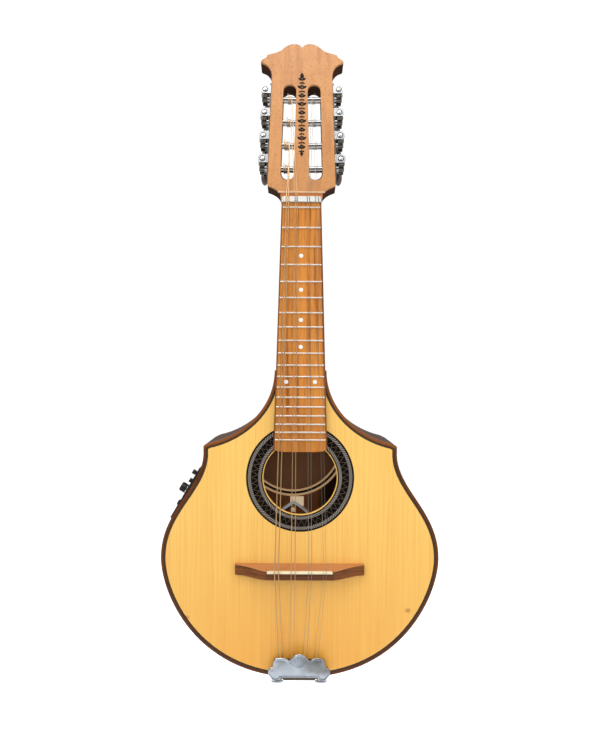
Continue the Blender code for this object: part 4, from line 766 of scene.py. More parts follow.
def half_outline(steps=22):
    """Right half of the body as (x, z), from the neck joint to the tail."""
    inner_tip = (SHOULDER_HALF_WIDTH - 0.0060, SHOULDER_Z + 0.0028)
    shoulder = bezier((NECK_JOINT_HALF_WIDTH, BODY_START_Z), (NECK_JOINT_HALF_WIDTH, BODY_START_Z - 0.037),
                      (0.0560, SHOULDER_Z + 0.0102), inner_tip, steps)
    tip = [inner_tip, (SHOULDER_HALF_WIDTH, SHOULDER_Z)]
    flank = bezier((WAIST_HALF_WIDTH, WAIST_Z), (WAIST_HALF_WIDTH + 0.0016, WAIST_Z - 0.034),
                   (BOUT_HALF_WIDTH, BOUT_Z + 0.046), (BOUT_HALF_WIDTH, BOUT_Z), steps)
    bottom = bezier((BOUT_HALF_WIDTH, BOUT_Z), (BOUT_HALF_WIDTH, BOUT_Z - 0.036),
                    (0.1020, TAIL_Z), (0.0, TAIL_Z), steps + 8, last=True)
    return shoulder + tip + flank + bottom


OUTLINE = half_outline()
print("points in half the outline:", len(OUTLINE))


def inset(distance):
    """The half outline moved inwards."""
    moved = []
    last = len(OUTLINE) - 1
    for i, (x, z) in enumerate(OUTLINE):
        here = Vector((x, z))
        if i == 0:
            moved.append((x - distance, z))
            continue
        if i == last:
            moved.append((0.0, z + distance))
            continue
        into = (here - Vector(OUTLINE[i - 1])).normalized()
        out = (Vector(OUTLINE[i + 1]) - here).normalized()
        normal = Vector((into.y, -into.x))
        middle = (normal + Vector((out.y, -out.x))).normalized()
        shift = middle * (distance / max(middle.dot(normal), 0.5))
        moved.append((x + shift.x, z + shift.y))
    return moved


def whole(half):
    """Both halves as one line, from the neck's right side to its left side."""
    return list(half) + [(-x, z) for x, z in reversed(half[:-1])]


def band(section, keep=whole):
    """A band swept along the outline. Its section is a list of (distance in, depth y)."""
    lines = [(keep(inset(distance)), y) for distance, y in section]
    count = len(lines[0][0])
    return loft([[Vector((line[i][0], y, line[i][1])) for line, y in lines] for i in range(count)])


# %% [markdown]
# ## Binding and purfling
# A strip of reddish brown wood closes the edge of the body all round. Beside it runs the purfling, a dark
# line with pale slanting dashes, like a twisted rope. The dashes are laid along the line by a recipe:
# the line is cut into equal lengths, and each point gets one small slanting bar.

# %% Bindings
BINDING_WIDTH = 0.0026
BINDING_HEIGHT = 0.0050
BINDING_ROUND = 0.0009
PURFLING_WIDTH, PURFLING_DEPTH = 0.0022, 0.0010


def rounded_edge(face, away):
    """Section of a binding whose outer corner is rounded. Away is the way into the body, +1 or -1."""
    corner = [(0.0, face + away * BINDING_ROUND), (0.3 * BINDING_ROUND, face + 0.3 * away * BINDING_ROUND),
              (BINDING_ROUND, face)]
    deep = face + away * BINDING_HEIGHT
    return [(0.0, deep)] + corner + [(BINDING_WIDTH, face), (BINDING_WIDTH, deep)]


mount(object_of("binding_front", band(rounded_edge(0.0, 1.0)), binding_wood),
      instead_of=("binding_top",))
mount(object_of("binding_rear", band(rounded_edge(BODY_DEPTH, -1.0)), binding_wood),
      instead_of=("binding_back",))

purfling_far = BINDING_WIDTH + PURFLING_WIDTH
purfling_section = [(BINDING_WIDTH, 0.0), (purfling_far, 0.0), (purfling_far, PURFLING_DEPTH),
                    (BINDING_WIDTH, PURFLING_DEPTH)]
mount(object_of("purfling", band(purfling_section), purfling_dark))

# %% Rope dashes along the purfling
def rope(name, line, spacing, bar, slant, finish, y):
    """Slanting bars set at equal distances along a line in the plane of the soundboard."""
    recipe = Recipe(name)
    gap = recipe.input("Spacing", spacing)
    size = recipe.input("Bar size", bar, "Vector")
    lean = recipe.input("Slant", slant)
    curve = recipe.path()
    points = recipe.node("GeometryNodeCurveToPoints", {"mode": "LENGTH"}, {"Curve": curve, "Length": gap})
    made = points.socket.node
    turn = recipe.node("FunctionNodeAlignRotationToVector", {"axis": "X", "pivot_axis": "Y"},
                       {"Vector": Wire(made.outputs["Tangent"])})
    tilt = recipe.node("FunctionNodeEulerToRotation", {}, {0: recipe.vector(0.0, lean, 0.0)})
    full = recipe.node("FunctionNodeRotateRotation", {"rotation_space": "LOCAL"}, {0: turn, 1: tilt})
    cube = recipe.node("GeometryNodeMeshCube", {}, {"Size": size})
    bars = recipe.node("GeometryNodeInstanceOnPoints", {},
                       {"Points": points, "Instance": cube, "Rotation": full})
    return recipe.run(bars, finish, polyline(name, [(x, y, z) for x, z in line]), smooth=10.0)


DASH_SPACING = 0.0016
DASH_SIZE = (0.0020, 0.0006, 0.00045)
DASH_SLANT = math.radians(45.0)
DASH_DEPTH = 0.00028

purfling_line = whole(inset(BINDING_WIDTH + PURFLING_WIDTH / 2))
mount(rope("purfling_dashes", purfling_line, DASH_SPACING, DASH_SIZE, DASH_SLANT, purfling_light,
           DASH_DEPTH))

# %% [markdown]
# ## Soundboard
# The board is one flat outline with a round hole. The rosette lies in a shallow channel round the hole,
# and inside it a narrow rim of wood is left, rounded over at the edge. The hole is a list of loops that
# step down from the face to the channel, up to the rim and down through the board.

# %% Soundboard with its hole
HOLE_Z = -0.2720
HOLE_RADIUS = 0.0362
ROSETTE_OUTER = 0.0533
ROSETTE_INNER = 0.0371
CHANNEL_DEPTH = 0.0009
HOLE_SIDES = 144


def flat(line, y):
    return [Vector((x, y, z)) for x, z in line]


def circle(radius, y):
    angles = [math.tau * k / HOLE_SIDES for k in range(HOLE_SIDES)]
    return [Vector((radius * math.cos(a), y, HOLE_Z + radius * math.sin(a))) for a in angles]


board_line = whole(inset(purfling_far))
hole_wall = [circle(radius, y) for radius, y in (
    (ROSETTE_OUTER, 0.0), (ROSETTE_OUTER, CHANNEL_DEPTH), (ROSETTE_INNER, CHANNEL_DEPTH),
    (ROSETTE_INNER, 0.0), (HOLE_RADIUS + 0.0004, 0.0), (HOLE_RADIUS + 0.0001, 0.0002),
    (HOLE_RADIUS, 0.0006), (HOLE_RADIUS, TOP_THICKNESS))]
board = pierced([flat(board_line, 0.0), flat(board_line, TOP_THICKNESS)], [hole_wall])
mount(object_of("soundboard_face", board, spruce), instead_of=("soundboard",))

# %% [markdown]
# ## Rosette
# The rosette is a set of thin rings: black lines, two bands of grey rope, and a black band with a fine
# zigzag. Each ring is a turned strip. The bands of rope get slanting strands by the same recipe as the
# purfling, and the zigzag is a circle whose points step in and out by turns.

# %% Rings of the rosette
HOLE_PLACE = Matrix.Translation((0.0, 0.0, HOLE_Z)) @ Matrix.Rotation(math.pi / 2, 4, "X")
RINGS = (("rosette_line_inner", 0.0371, 0.0383, rosette_black, 0.00006),
         ("rosette_rope_inner", 0.0383, 0.0414, rope_ground, 0.0),
         ("rosette_middle", 0.0414, 0.0482, rosette_black, 0.00004),
         ("rosette_rope_outer", 0.0482, 0.0517, rope_ground, 0.0),
         ("rosette_line_outer", 0.0517, 0.0532, rosette_black, 0.00006))
for ring_name, inner, outer, ring_finish, proud in RINGS:
    profile = [(proud, inner), (proud, outer), (-CHANNEL_DEPTH, outer), (-CHANNEL_DEPTH, inner)]
    ring = object_of(ring_name, lathe(profile, HOLE_SIDES, HOLE_PLACE, closed=True), ring_finish)
    mount(ring, instead_of=("rosette",) if ring_name == "rosette_middle" else ())


def ring_line(radius, gap, count=180):
    """A circle round the hole as (x, z) that stops one gap short of its start."""
    angles = [(math.tau - gap / radius) * k / count for k in range(count + 1)]
    return [(radius * math.cos(a), HOLE_Z + radius * math.sin(a)) for a in angles]


STRAND_SPACING = 0.0021
STRAND_SIZE = (0.0040, 0.0004, 0.00086)
STRAND_DEPTH = 0.00018
ROPES = (("rope_strands_inner", 0.03985, 52.0), ("rope_strands_outer", 0.04995, -52.0))
for rope_name, radius, slant in ROPES:
    spacing = math.tau * radius / round(math.tau * radius / STRAND_SPACING)
    strands = rope(rope_name, ring_line(radius, spacing), spacing * 0.999, STRAND_SIZE,
                   math.radians(slant), rope_strand, STRAND_DEPTH)
    mount(strands)

# %% Zigzag of the rosette
ZIGZAG_PERIODS = 49
ZIGZAG_RADIUS = 0.04480
ZIGZAG_REACH = 0.0028
ZIGZAG_WIDTH = 0.00056
ZIGZAG_PROUD = 0.00004


def zigzag(name):
    """A thin line that runs out and in round the hole."""
    recipe = Recipe(name)
    count = recipe.input("Teeth", 2 * ZIGZAG_PERIODS, "Int")
    reach = recipe.input("Reach", ZIGZAG_REACH)
    radius = recipe.input("Radius", ZIGZAG_RADIUS)
    width = recipe.input("Line width", ZIGZAG_WIDTH)
    index = recipe.node("GeometryNodeInputIndex")
    angle = index * math.tau / count
    away = radius + ((index % 2.0) * 2.0 - 1.0) * reach
    across, up = angle.math("COSINE", angle) * away, angle.math("SINE", angle) * away + HOLE_Z
    where = recipe.vector(across, -ZIGZAG_PROUD, up)
    loop = recipe.node("GeometryNodeCurvePrimitiveCircle", {}, {"Resolution": count})
    bent = recipe.node("GeometryNodeSetPosition", {}, {"Geometry": loop, "Position": where})
    profile = recipe.node("GeometryNodeCurvePrimitiveCircle", {}, {"Resolution": 6, "Radius": width / 2.0})
    line = recipe.node("GeometryNodeCurveToMesh", {}, {0: bent, 1: profile})
    return recipe.run(line, zigzag_wood)


mount(zigzag("rosette_zigzag"))

# %% [markdown]
# ## Ribs and back
# The ribs are bent boards between the two bindings, and they meet at the tail. The bass rib has an
# opening for the preamplifier, cut with a box that stands square to the panel. The panel's place comes
# from the joints: the battery tray slides straight out of it.

# %% Ribs
RIB_THICKNESS = 0.0025
PANEL_OPENING = (0.0265, 0.0195)
OPENING_REACH = (-0.030, 0.010)
PANEL_OUT = Vector(joints["battery_tray_slide"]["axis"]).normalized()
PANEL_BACK = Vector((0.0, 1.0, 0.0))
PANEL_UP = PANEL_BACK.cross(PANEL_OUT)
VOLUME_P, VOLUME_Y = 0.0008, -0.0100
volume_at = Vector(joints["knob_volume_turn"]["pos_m"])
PANEL = Matrix((PANEL_UP, PANEL_BACK, PANEL_OUT)).transposed().to_4x4()
PANEL.translation = volume_at - PANEL_UP * VOLUME_P - PANEL_BACK * VOLUME_Y

rib_near = BINDING_HEIGHT
rib_far = BODY_DEPTH - BINDING_HEIGHT
rib_section = [(0.0, rib_near), (0.0, rib_far), (RIB_THICKNESS, rib_far), (RIB_THICKNESS, rib_near)]


def right_half(half):
    return [(max(x, GLUE_GAP / 2), z) for x, z in half]


def left_half(half):
    return [(-x, z) for x, z in right_half(half)]


treble_rib = object_of("treble_rib", band(rib_section, right_half), side_walnut)
mount(treble_rib, instead_of=("rib_treble",))
bass_rib = object_of("bass_rib", band(rib_section, left_half), side_walnut)
half_tall, half_deep = PANEL_OPENING
opening = brick((-half_tall, -half_deep, OPENING_REACH[0]), (half_tall, half_deep, OPENING_REACH[1]),
                place=PANEL)
cut(bass_rib, object_of("opening", opening, black_plastic))
mount(bass_rib, instead_of=("rib_bass",))

# %% [markdown]
# The back is one flat plate inside its binding, with a thin inlaid line where its two halves meet. The
# blocks, linings and braces behind it are right as solids and only need their wood.

# %% Back
BACK_THICKNESS = 0.0025
CENTRE_LINE_HALF_WIDTH = 0.0015

back_line = whole(inset(BINDING_WIDTH))
back = pierced([flat(back_line, BODY_DEPTH), flat(back_line, BODY_DEPTH - BACK_THICKNESS)], [])
mount(object_of("back_face", back, walnut), instead_of=("back_plate",))
centre_strip = brick((-CENTRE_LINE_HALF_WIDTH, BODY_DEPTH - 0.0010, TAIL_Z + 0.0030),
                     (CENTRE_LINE_HALF_WIDTH, BODY_DEPTH + 0.00002, BODY_START_Z))
mount(object_of("back_centre_line", centre_strip, purfling_light))

for finish, node_names in (
        (cedar, ("neck_block", "tail_block")), (lining_wood, ("lining_top", "lining_back")),
        (brace_wood, ("brace_top_upper", "brace_top_lower", "brace_back_upper", "brace_back_lower")),
        (brass, ("piezo_pickup",))):
    for node_name in node_names:
        dress(node_name, finish)

# %% [markdown]
# ## Headstock
# The headstock leans back eight degrees, so it has a frame of its own: x across, n back from the veneer's
# face and s up along it. Its outline is drawn once with curves and mirrored. The two slots get shorter
# towards the back, where their lower end ramps up.

# %% Outline of the headstock and its slots
HEAD_TILT = math.radians(8.0)
HEAD_START_Z, HEAD_FACE_Y = 0.0029, -0.0025
HEAD_THICKNESS = 0.0160
VENEER_THICKNESS = 0.0022
VENEER_START = 0.0059
FLARE_S = 0.0127
FLARE_HALF_WIDTH = 0.0336
TOP_S = 0.1294
TOP_HALF_WIDTH = 0.0308
EAR_HALF_WIDTH = 0.0422
SLOT_RADIUS = 0.0065
SLOT_LOW_S, SLOT_LOW_X = 0.0183, 0.0144
SLOT_HIGH_S, SLOT_HIGH_X = 0.1213, 0.0121
SLOT_RAMP = 0.0090 / HEAD_THICKNESS
HEAD_PLACE = Matrix.Translation((0.0, HEAD_FACE_Y, HEAD_START_Z)) @ Matrix.Rotation(-HEAD_TILT, 4, "X")


def head_outline(start, steps=14):
    """The whole headstock outline as (x, s), from a start height round the top and back."""
    flare = bezier((0.0198, 0.0), (0.0215, 0.0075), (0.0265, 0.0100), (FLARE_HALF_WIDTH, FLARE_S), steps)
    after = next(i for i, point in enumerate(flare) if point[1] > start)
    (x0, s0), (x1, s1) = flare[max(after - 1, 0)], flare[after]
    foot = (x0 + (x1 - x0) * (start - s0) / (s1 - s0), start)
    half = [foot] + flare[after:] + [(FLARE_HALF_WIDTH, FLARE_S)]
    half += bezier((TOP_HALF_WIDTH, TOP_S), (0.0308, 0.1390), (0.0352, 0.1445), (EAR_HALF_WIDTH, 0.1456),
                   steps)
    half += bezier((EAR_HALF_WIDTH, 0.1466), (0.0410, 0.1510), (0.0364, 0.1495), (0.0355, 0.1545), steps)
    half += bezier((0.0355, 0.1545), (0.0310, 0.1565), (0.0262, 0.1560), (0.0205, 0.1605), steps)
    half += bezier((0.0205, 0.1605), (0.0140, 0.1682), (0.0035, 0.1692), (0.0, 0.1628), steps, last=True)
    return half + [(-x, s) for x, s in reversed(half[:-1])]


def shrink(points, distance):
    """A closed outline moved inwards by a small distance. The points run anticlockwise."""
    moved = []
    for before, here, after in zip(points[-1:] + points[:-1], points, points[1:] + points[:1]):
        into = (Vector(here) - Vector(before)).normalized()
        out = (Vector(after) - Vector(here)).normalized()
        normal = Vector((-into.y, into.x))
        middle = (normal + Vector((-out.y, out.x))).normalized()
        moved.append(tuple(Vector(here) + middle * (distance / max(middle.dot(normal), 0.5))))
    return moved


def slot_centre(s):
    return SLOT_LOW_X + (SLOT_HIGH_X - SLOT_LOW_X) * (s - SLOT_LOW_S) / (SLOT_HIGH_S - SLOT_LOW_S)


def slot_ring(side, n, grow=0.0, steps=12):
    """Outline of one slot at a depth n, a little larger if it has to grow."""
    low = SLOT_LOW_S + SLOT_RAMP * n
    radius = SLOT_RADIUS + grow
    ring = []
    for centre_s, first in ((SLOT_HIGH_S - SLOT_RADIUS, 0.0), (low + SLOT_RADIUS, math.pi)):
        for k in range(steps + 1):
            angle = first + math.pi * k / steps
            across = slot_centre(centre_s) + radius * math.cos(angle)
            ring.append((across, centre_s + radius * math.sin(angle)))
    return [HEAD_PLACE @ Vector((side * x, n, s)) for x, s in ring]


def head_loop(outline, n):
    return [HEAD_PLACE @ Vector((x, n, s)) for x, s in outline]


print("points round the headstock:", len(head_outline(0.0)))

# %% [markdown]
# ## Neck
# The neck, its heel and the middle of the headstock are one piece of wood. The shaft is a flat-topped
# half round, and its rings deepen into the heel while their backs draw in to the narrow heel cap. The
# loft's rings run from the heel up, and the headstock's block is joined on with a Boolean.

# %% Neck with its heel
NUT_HALF_WIDTH = 0.0193
BOARD_END_HALF_WIDTH = 0.0262
BOARD_END_Z = -0.2460
NECK_DEPTH = 0.0145
NECK_DEPTH_AT_HEEL = 0.0175
NECK_TOP_Z = -0.004
HEEL_LENGTH = 0.030
HEEL_CAP_HALF_WIDTH = 0.011


def board_half_width(z):
    return NUT_HALF_WIDTH + (BOARD_END_HALF_WIDTH - NUT_HALF_WIDTH) * z / BOARD_END_Z


def half_round(steps=26):
    """Pairs that say how far across and how far down each point lies, from one edge to the other."""
    angles = [math.pi * k / steps for k in range(steps + 1)]
    return [(math.cos(a), max(math.sin(a), 0.0)) for a in angles]


def neck_ring(z, half_width, depth, front=0.0, squareness=2.3):
    power = 2.0 / squareness
    return [Vector((half_width * math.copysign(abs(side) ** power, side), front + depth * drop ** power, z))
            for side, drop in half_round()]


def heel_ring(z, half_width, depth, share):
    ring = []
    for side, drop in half_round():
        narrow = half_width + (HEEL_CAP_HALF_WIDTH - half_width) * share * drop ** 1.5
        ring.append(Vector((math.copysign(abs(side) ** 0.8, side) * narrow, depth * drop ** 0.85, z)))
    return ring


heel_top = NECK_JOINT_Z + HEEL_LENGTH
neck_rings = []
for k in range(9):
    z = NECK_TOP_Z + (heel_top - NECK_TOP_Z) * k / 8
    depth = NECK_DEPTH + (NECK_DEPTH_AT_HEEL - NECK_DEPTH) * k / 8
    neck_rings.append(neck_ring(z, board_half_width(z), depth))
for k in range(1, 15):
    share = k / 14
    z = heel_top - HEEL_LENGTH * share ** 0.75
    depth = NECK_DEPTH_AT_HEEL + (BODY_DEPTH - GLUE_GAP - NECK_DEPTH_AT_HEEL) * share ** 2.6
    neck_rings.append(heel_ring(z, board_half_width(z), depth, share))
neck_rings.reverse()
for lift, shallower in ((0.004, 0.0), (0.016, 0.0022)):
    front = max(lift - HEAD_START_Z, 0.0) * math.tan(HEAD_TILT) + 0.0006
    neck_rings.append(neck_ring(lift, NUT_HALF_WIDTH, NECK_DEPTH - shallower, front, squareness=2.6))

neck = object_of("neck_wood", loft(neck_rings), cedar)
head = pierced([head_loop(head_outline(0.0), VENEER_THICKNESS + 0.0001),
                head_loop(head_outline(0.0), HEAD_THICKNESS)], [])
cut(neck, object_of("head_block", head, cedar), "UNION")
print("neck and headstock:", len(neck.data.polygons), "faces")

# %% [markdown]
# Each side of the headstock tapers a little towards the top, and everything of its machine heads is
# placed along that side: outwards, back and up. The four posts cross the slot on each side, so the wood
# between the slots and the sides is bored for them.

# %% Slots and bores
SIDE_TAPER = math.atan2(FLARE_HALF_WIDTH - TOP_HALF_WIDTH, TOP_S - FLARE_S)
SIDE_START_X = FLARE_HALF_WIDTH + FLARE_S * math.tan(SIDE_TAPER)
SIDES = {"bass": -1, "treble": 1}
POSTS = range(4)
POST_LOW_S, POST_SPACING = 0.0330, 0.0250
CUT_THROUGH = 0.004
POST_DEPTH = 0.0056
POST_RADIUS = 0.0030
POST_INNER_END = -0.0280


def side_place(side):
    return (HEAD_PLACE @ Matrix.Translation((side * SIDE_START_X, 0.0, 0.0))
            @ Matrix.Rotation(-side * SIDE_TAPER, 4, "Y"))


def post_s(k):
    return POST_LOW_S + POST_SPACING * k


def post_place(side, k):
    """Frame of one post, with its Z axis pointing out of the headstock."""
    return (side_place(side) @ Matrix.Translation((0.0, POST_DEPTH, post_s(k)))
            @ Matrix.Rotation(side * math.pi / 2, 4, "Y"))


bores = bmesh.new()
slots = bmesh.new()
for side in SIDES.values():
    loft([slot_ring(side, -CUT_THROUGH), slot_ring(side, HEAD_THICKNESS + CUT_THROUGH)], slots)
    for k in POSTS:
        bore = [(POST_INNER_END - GLUE_GAP, POST_RADIUS + GLUE_GAP), (CUT_THROUGH, POST_RADIUS + GLUE_GAP)]
        lathe(bore, 24, post_place(side, k), bores)
cut(neck, object_of("slot_cutters", slots, cedar))
cut(neck, object_of("post_cutters", bores, cedar))
mount(soften(neck, 0.0005, 50.0), instead_of=("neck",))

# %% [markdown]
# ## Headstock veneer
# A thin sheet of lighter wood covers the headstock's face. Its sawn edges are broken with fine paper, and
# a pale line is painted along its lower edge as the highlight of that broken edge. Its figure is cloudy and
# flecked, with a faint joint near the top, so those go over the plain wood as more noise.

# %% Veneer
EDGE_BREAK = 0.00035
JOINT_X, JOINT_WIDTH, JOINT_FROM_Z, JOINT_FADE = -0.0042, 0.0040, 0.118, 0.020
EDGE_HIGHLIGHT_WIDTH = 0.0004

veneer_line = head_outline(VENEER_START)
outer_wall = [head_loop(shrink(veneer_line, EDGE_BREAK), 0.0), head_loop(veneer_line, EDGE_BREAK),
              head_loop(veneer_line, VENEER_THICKNESS)]
slot_walls = [[slot_ring(side, n, grow) for n, grow in
               ((0.0, EDGE_BREAK), (EDGE_BREAK, 0.0), (VENEER_THICKNESS, 0.0))] for side in SIDES.values()]
mount(object_of("headstock_face", pierced(outer_wall, slot_walls), veneer, 25.0),
      instead_of=("headstock_veneer",))

head_x, head_z = veneer.parts(veneer.place())[::2]
cloud = veneer.noise(veneer.place(), scale=75.0, detail=4.0, roughness=0.65)
flecks = veneer.noise(veneer.place(scale=(1.0, 1.0, 0.55)), scale=900.0, detail=2.0)
veneer.over(((cloud - 0.46) * 3.0).held() * 0.42, paint(178, 116, 70))
veneer.over(((flecks - 0.56) * 9.0).held() * 0.42, paint(150, 86, 50))
joint = (1.0 - abs(head_x - JOINT_X) / JOINT_WIDTH).held() * ((head_z - JOINT_FROM_Z) / JOINT_FADE).held()
veneer.over(joint * 0.45, paint(168, 108, 62))
# Painted highlight: a pale band along the veneer's lower edge, where its broken edge catches the light.
foot_z = (HEAD_PLACE @ Vector((0.0, 0.0, VENEER_START))).z
edge_highlight = (1.0 - (head_z - foot_z - EDGE_HIGHLIGHT_WIDTH) / EDGE_HIGHLIGHT_WIDTH).held()
veneer.over(edge_highlight, paint(248, 226, 190))

# %% [markdown]
# A plain ornament is inlaid between the slots: a stem with pairs of small leaves and a lozenge at each
# end. Every leaf is the same sine curve in another size, turned and mirrored.

# %% Ornament
ORNAMENT_LOW, ORNAMENT_HIGH = 0.0461, 0.1296
STEM_HALF_WIDTH = 0.00036
INLAY_PROUD = 0.00006
PAIRS = 9


def leaf(length, width, steps=8):
    """A pointed leaf from the origin along +X."""
    edge = [(length * k / steps, width * math.sin(math.pi * k / steps) ** 0.8) for k in range(steps + 1)]
    return edge + [(x, -y) for x, y in reversed(edge[1:-1])]


ornament = bmesh.new()


def inlay(points, centre_s, turn=0.0, side=1.0, centre_x=0.0):
    """One flat shape let into the veneer."""
    turned = Matrix.Rotation(turn, 2)
    placed = [turned @ Vector(point) for point in points]
    loops = [[HEAD_PLACE @ Vector((side * (centre_x + p.x), n, centre_s + p.y)) for p in placed]
             for n in (-INLAY_PROUD, INLAY_PROUD)]
    loft(loops, ornament)


inlay([(-STEM_HALF_WIDTH, ORNAMENT_LOW), (STEM_HALF_WIDTH, ORNAMENT_LOW),
       (STEM_HALF_WIDTH, ORNAMENT_HIGH), (-STEM_HALF_WIDTH, ORNAMENT_HIGH)], 0.0)
for pair in range(PAIRS):
    share = (pair + 0.6) / PAIRS
    height = ORNAMENT_LOW + (ORNAMENT_HIGH - ORNAMENT_LOW) * share
    length = 0.0056 if pair % 2 else 0.0044
    for side in (-1.0, 1.0):
        inlay(leaf(length, 0.00128), height, math.radians(38.0), side, 0.0002)
        inlay(leaf(length * 0.66, 0.00090), height - 0.0024, math.radians(-24.0), side, 0.0002)
        inlay(leaf(0.0024, 0.00078), height + 0.0022, math.radians(60.0), side, 0.0004)
for height, size in ((ORNAMENT_LOW, 0.0030), (ORNAMENT_HIGH + 0.0015, 0.0036)):
    inlay([(0.0, -size), (size * 0.6, 0.0), (0.0, size), (-size * 0.6, 0.0)], height)
mount(object_of("headstock_ornament", ornament, inlay_ink))

# %% [markdown]
# ## Fretboard
# The board narrows towards the nut and ends in a shallow curve over the rosette. Its edges are darker in
# a narrow band, and it darkens towards the body.

# %% Fretboard
BOARD_FACE = -0.0060
NUT_THICKNESS = 0.0052
BOARD_CORNER = 0.0050
DARK_EDGE_WIDTH, DARK_EDGE_FADE = 0.0011, 0.0006
DARK_FROM_Z, DARK_FADE = -0.1900, 0.0300

board_start = -(NUT_THICKNESS / 2 + GLUE_GAP)
half = board_half_width(BOARD_END_Z)
corner = BOARD_END_Z + BOARD_CORNER
board_half = [(0.0, BOARD_END_Z)]
board_half += bezier((half, corner), (half, BOARD_END_Z), (half - BOARD_CORNER, BOARD_END_Z),
                     (0.0, BOARD_END_Z), 16)[::-1]
board_half.append((board_half_width(board_start), board_start))
board_outline = board_half + [(-x, z) for x, z in reversed(board_half[1:])]
board_wall = [flat(shrink(board_outline, EDGE_BREAK), BOARD_FACE),
              flat(board_outline, BOARD_FACE + EDGE_BREAK), flat(board_outline, -0.00005)]
mount(object_of("fretboard_wood", pierced(board_wall, []), rosewood, 25.0),
      instead_of=("fretboard",))
x, z = rosewood.parts(rosewood.place())[::2]
from_edge = NUT_HALF_WIDTH + (z / BOARD_END_Z) * (BOARD_END_HALF_WIDTH - NUT_HALF_WIDTH) - abs(x)
# The board's edges are darker in a narrow band.
dark_edge = (1.0 - (from_edge - DARK_EDGE_WIDTH) / DARK_EDGE_FADE).held()
darker = ((z - DARK_FROM_Z) / -DARK_FADE).held()
rosewood.over(darker * 0.16, paint(110, 58, 24))
rosewood.over(dark_edge * 0.75, paint(84, 46, 24))
rosewood.shade(Specular_IOR_Level=0.25)

# %% [markdown]
# Frets stand where the string's length shrinks by the twelfth root of two each time, so a recipe can
# place them all: it counts, works out each fret's height, and scales a round bar, half sunk in the wood,
# to the board's width there.

# %% Frets
SCALE_LENGTH = 0.350
ZERO_FRET_Z = -0.0078
FRETS = 18
FRET_SIZE = (0.0016, 0.0011)
FRET_SHORT = 0.0013

recipe = Recipe("frets")
fret_count = recipe.input("Fret count", FRETS + 1, "Int")
scale_length = recipe.input("Scale length", SCALE_LENGTH)
short = recipe.input("Short of the edge", FRET_SHORT)
index = recipe.node("GeometryNodeInputIndex")
height = ZERO_FRET_Z - scale_length * (1.0 - 0.5 ** (index / 12.0))
width = NUT_HALF_WIDTH + (BOARD_END_HALF_WIDTH - NUT_HALF_WIDTH) * (height / BOARD_END_Z) - short
line = recipe.node("GeometryNodeMeshLine", {"mode": "OFFSET"}, {"Count": fret_count})
places = recipe.node("GeometryNodeSetPosition", {},
                     {"Geometry": line, "Position": recipe.vector(0.0, BOARD_FACE, height)})
bar = recipe.node("GeometryNodeMeshCylinder", {}, {"Vertices": 18, "Radius": 0.5, "Depth": 1.0})
frets = recipe.node("GeometryNodeInstanceOnPoints", {}, {
    "Points": places, "Instance": bar, "Rotation": (0.0, math.pi / 2, 0.0),
    "Scale": recipe.vector(FRET_SIZE[0], 2.0 * FRET_SIZE[1], 2.0 * width)})
mount(recipe.run(frets, fret_metal, smooth=50.0))

# %% [markdown]
# Small pearl dots mark the third, fifth, seventh and ninth frets, and two mark the octave. The nut is a
# solid that only needs softer edges.

# %% Dots and nut
DOT_RADIUS, DOT_SUNK, DOT_PROUD = 0.0020, 0.0005, 0.00006
DOUBLE_DOT_X = 0.0140
DOTS = ((3, 0.0), (5, 0.0), (7, 0.0), (9, 0.0), (12, -DOUBLE_DOT_X), (12, DOUBLE_DOT_X))


def fret_z(number):
    return ZERO_FRET_Z - SCALE_LENGTH * (1.0 - 0.5 ** (number / 12.0))


dots = bmesh.new()
for number, x in DOTS:
    middle_z = (fret_z(number - 1) + fret_z(number)) / 2
    spot = Matrix.Translation((x, BOARD_FACE, middle_z)) @ Matrix.Rotation(math.pi / 2, 4, "X")
    lathe([(-DOT_SUNK, 0.0), (-DOT_SUNK, DOT_RADIUS), (DOT_PROUD / 2, DOT_RADIUS),
           (DOT_PROUD, DOT_RADIUS * 0.9), (DOT_PROUD, 0.0)], 28, spot, dots)
mount(object_of("fretboard_dots", dots, pearl))
refined("nut", "nut_bone", bone, 0.0003)

# %% [markdown]
# ## Machine heads
# On each side a steel strip carries two lugs for every string, and the worm's shaft turns in the lugs. The
# distance between worm and wheel comes from their two pitch radii. The strip's holes for the posts and
# the lugs' holes for the shafts are cut by the same frames that later carry the posts and the keys.

# %% Side plates with their lugs
PLATE_OUT = (0.0003, 0.0015)
PLATE_FRONT, PLATE_BACK = 0.0022, 0.0112
PLATE_OVERHANG = 0.0080
LUG_FRONT, LUG_BACK, LUG_THICKNESS = 0.0004, 0.0096, 0.0012
LUG_RADIUS, LUG_DROP, LUG_FLAT = 0.0047, 0.0041, 0.0018
WORM_STANDOFF = 0.0060
SHAFT_RADIUS = 0.0015
RIVET_RADIUS = 0.0019
WORM_PITCH = 0.00226
WORM_PITCH_RADIUS = 0.0033
GEAR_TEETH = 14
GEAR_PITCH_RADIUS = GEAR_TEETH * WORM_PITCH / math.tau
GEAR_FACE_WIDTH = 0.0046
ADDENDUM, DEDENDUM = 0.0006, 0.00085
WORM_OFFSET = GEAR_PITCH_RADIUS + WORM_PITCH_RADIUS


def key_place(side, k):
    """Frame of one worm, with its Z axis pointing back."""
    return (side_place(side) @ Matrix.Translation((side * WORM_STANDOFF, 0.0, post_s(k) + WORM_OFFSET))
            @ Matrix.Rotation(-math.pi / 2, 4, "X"))


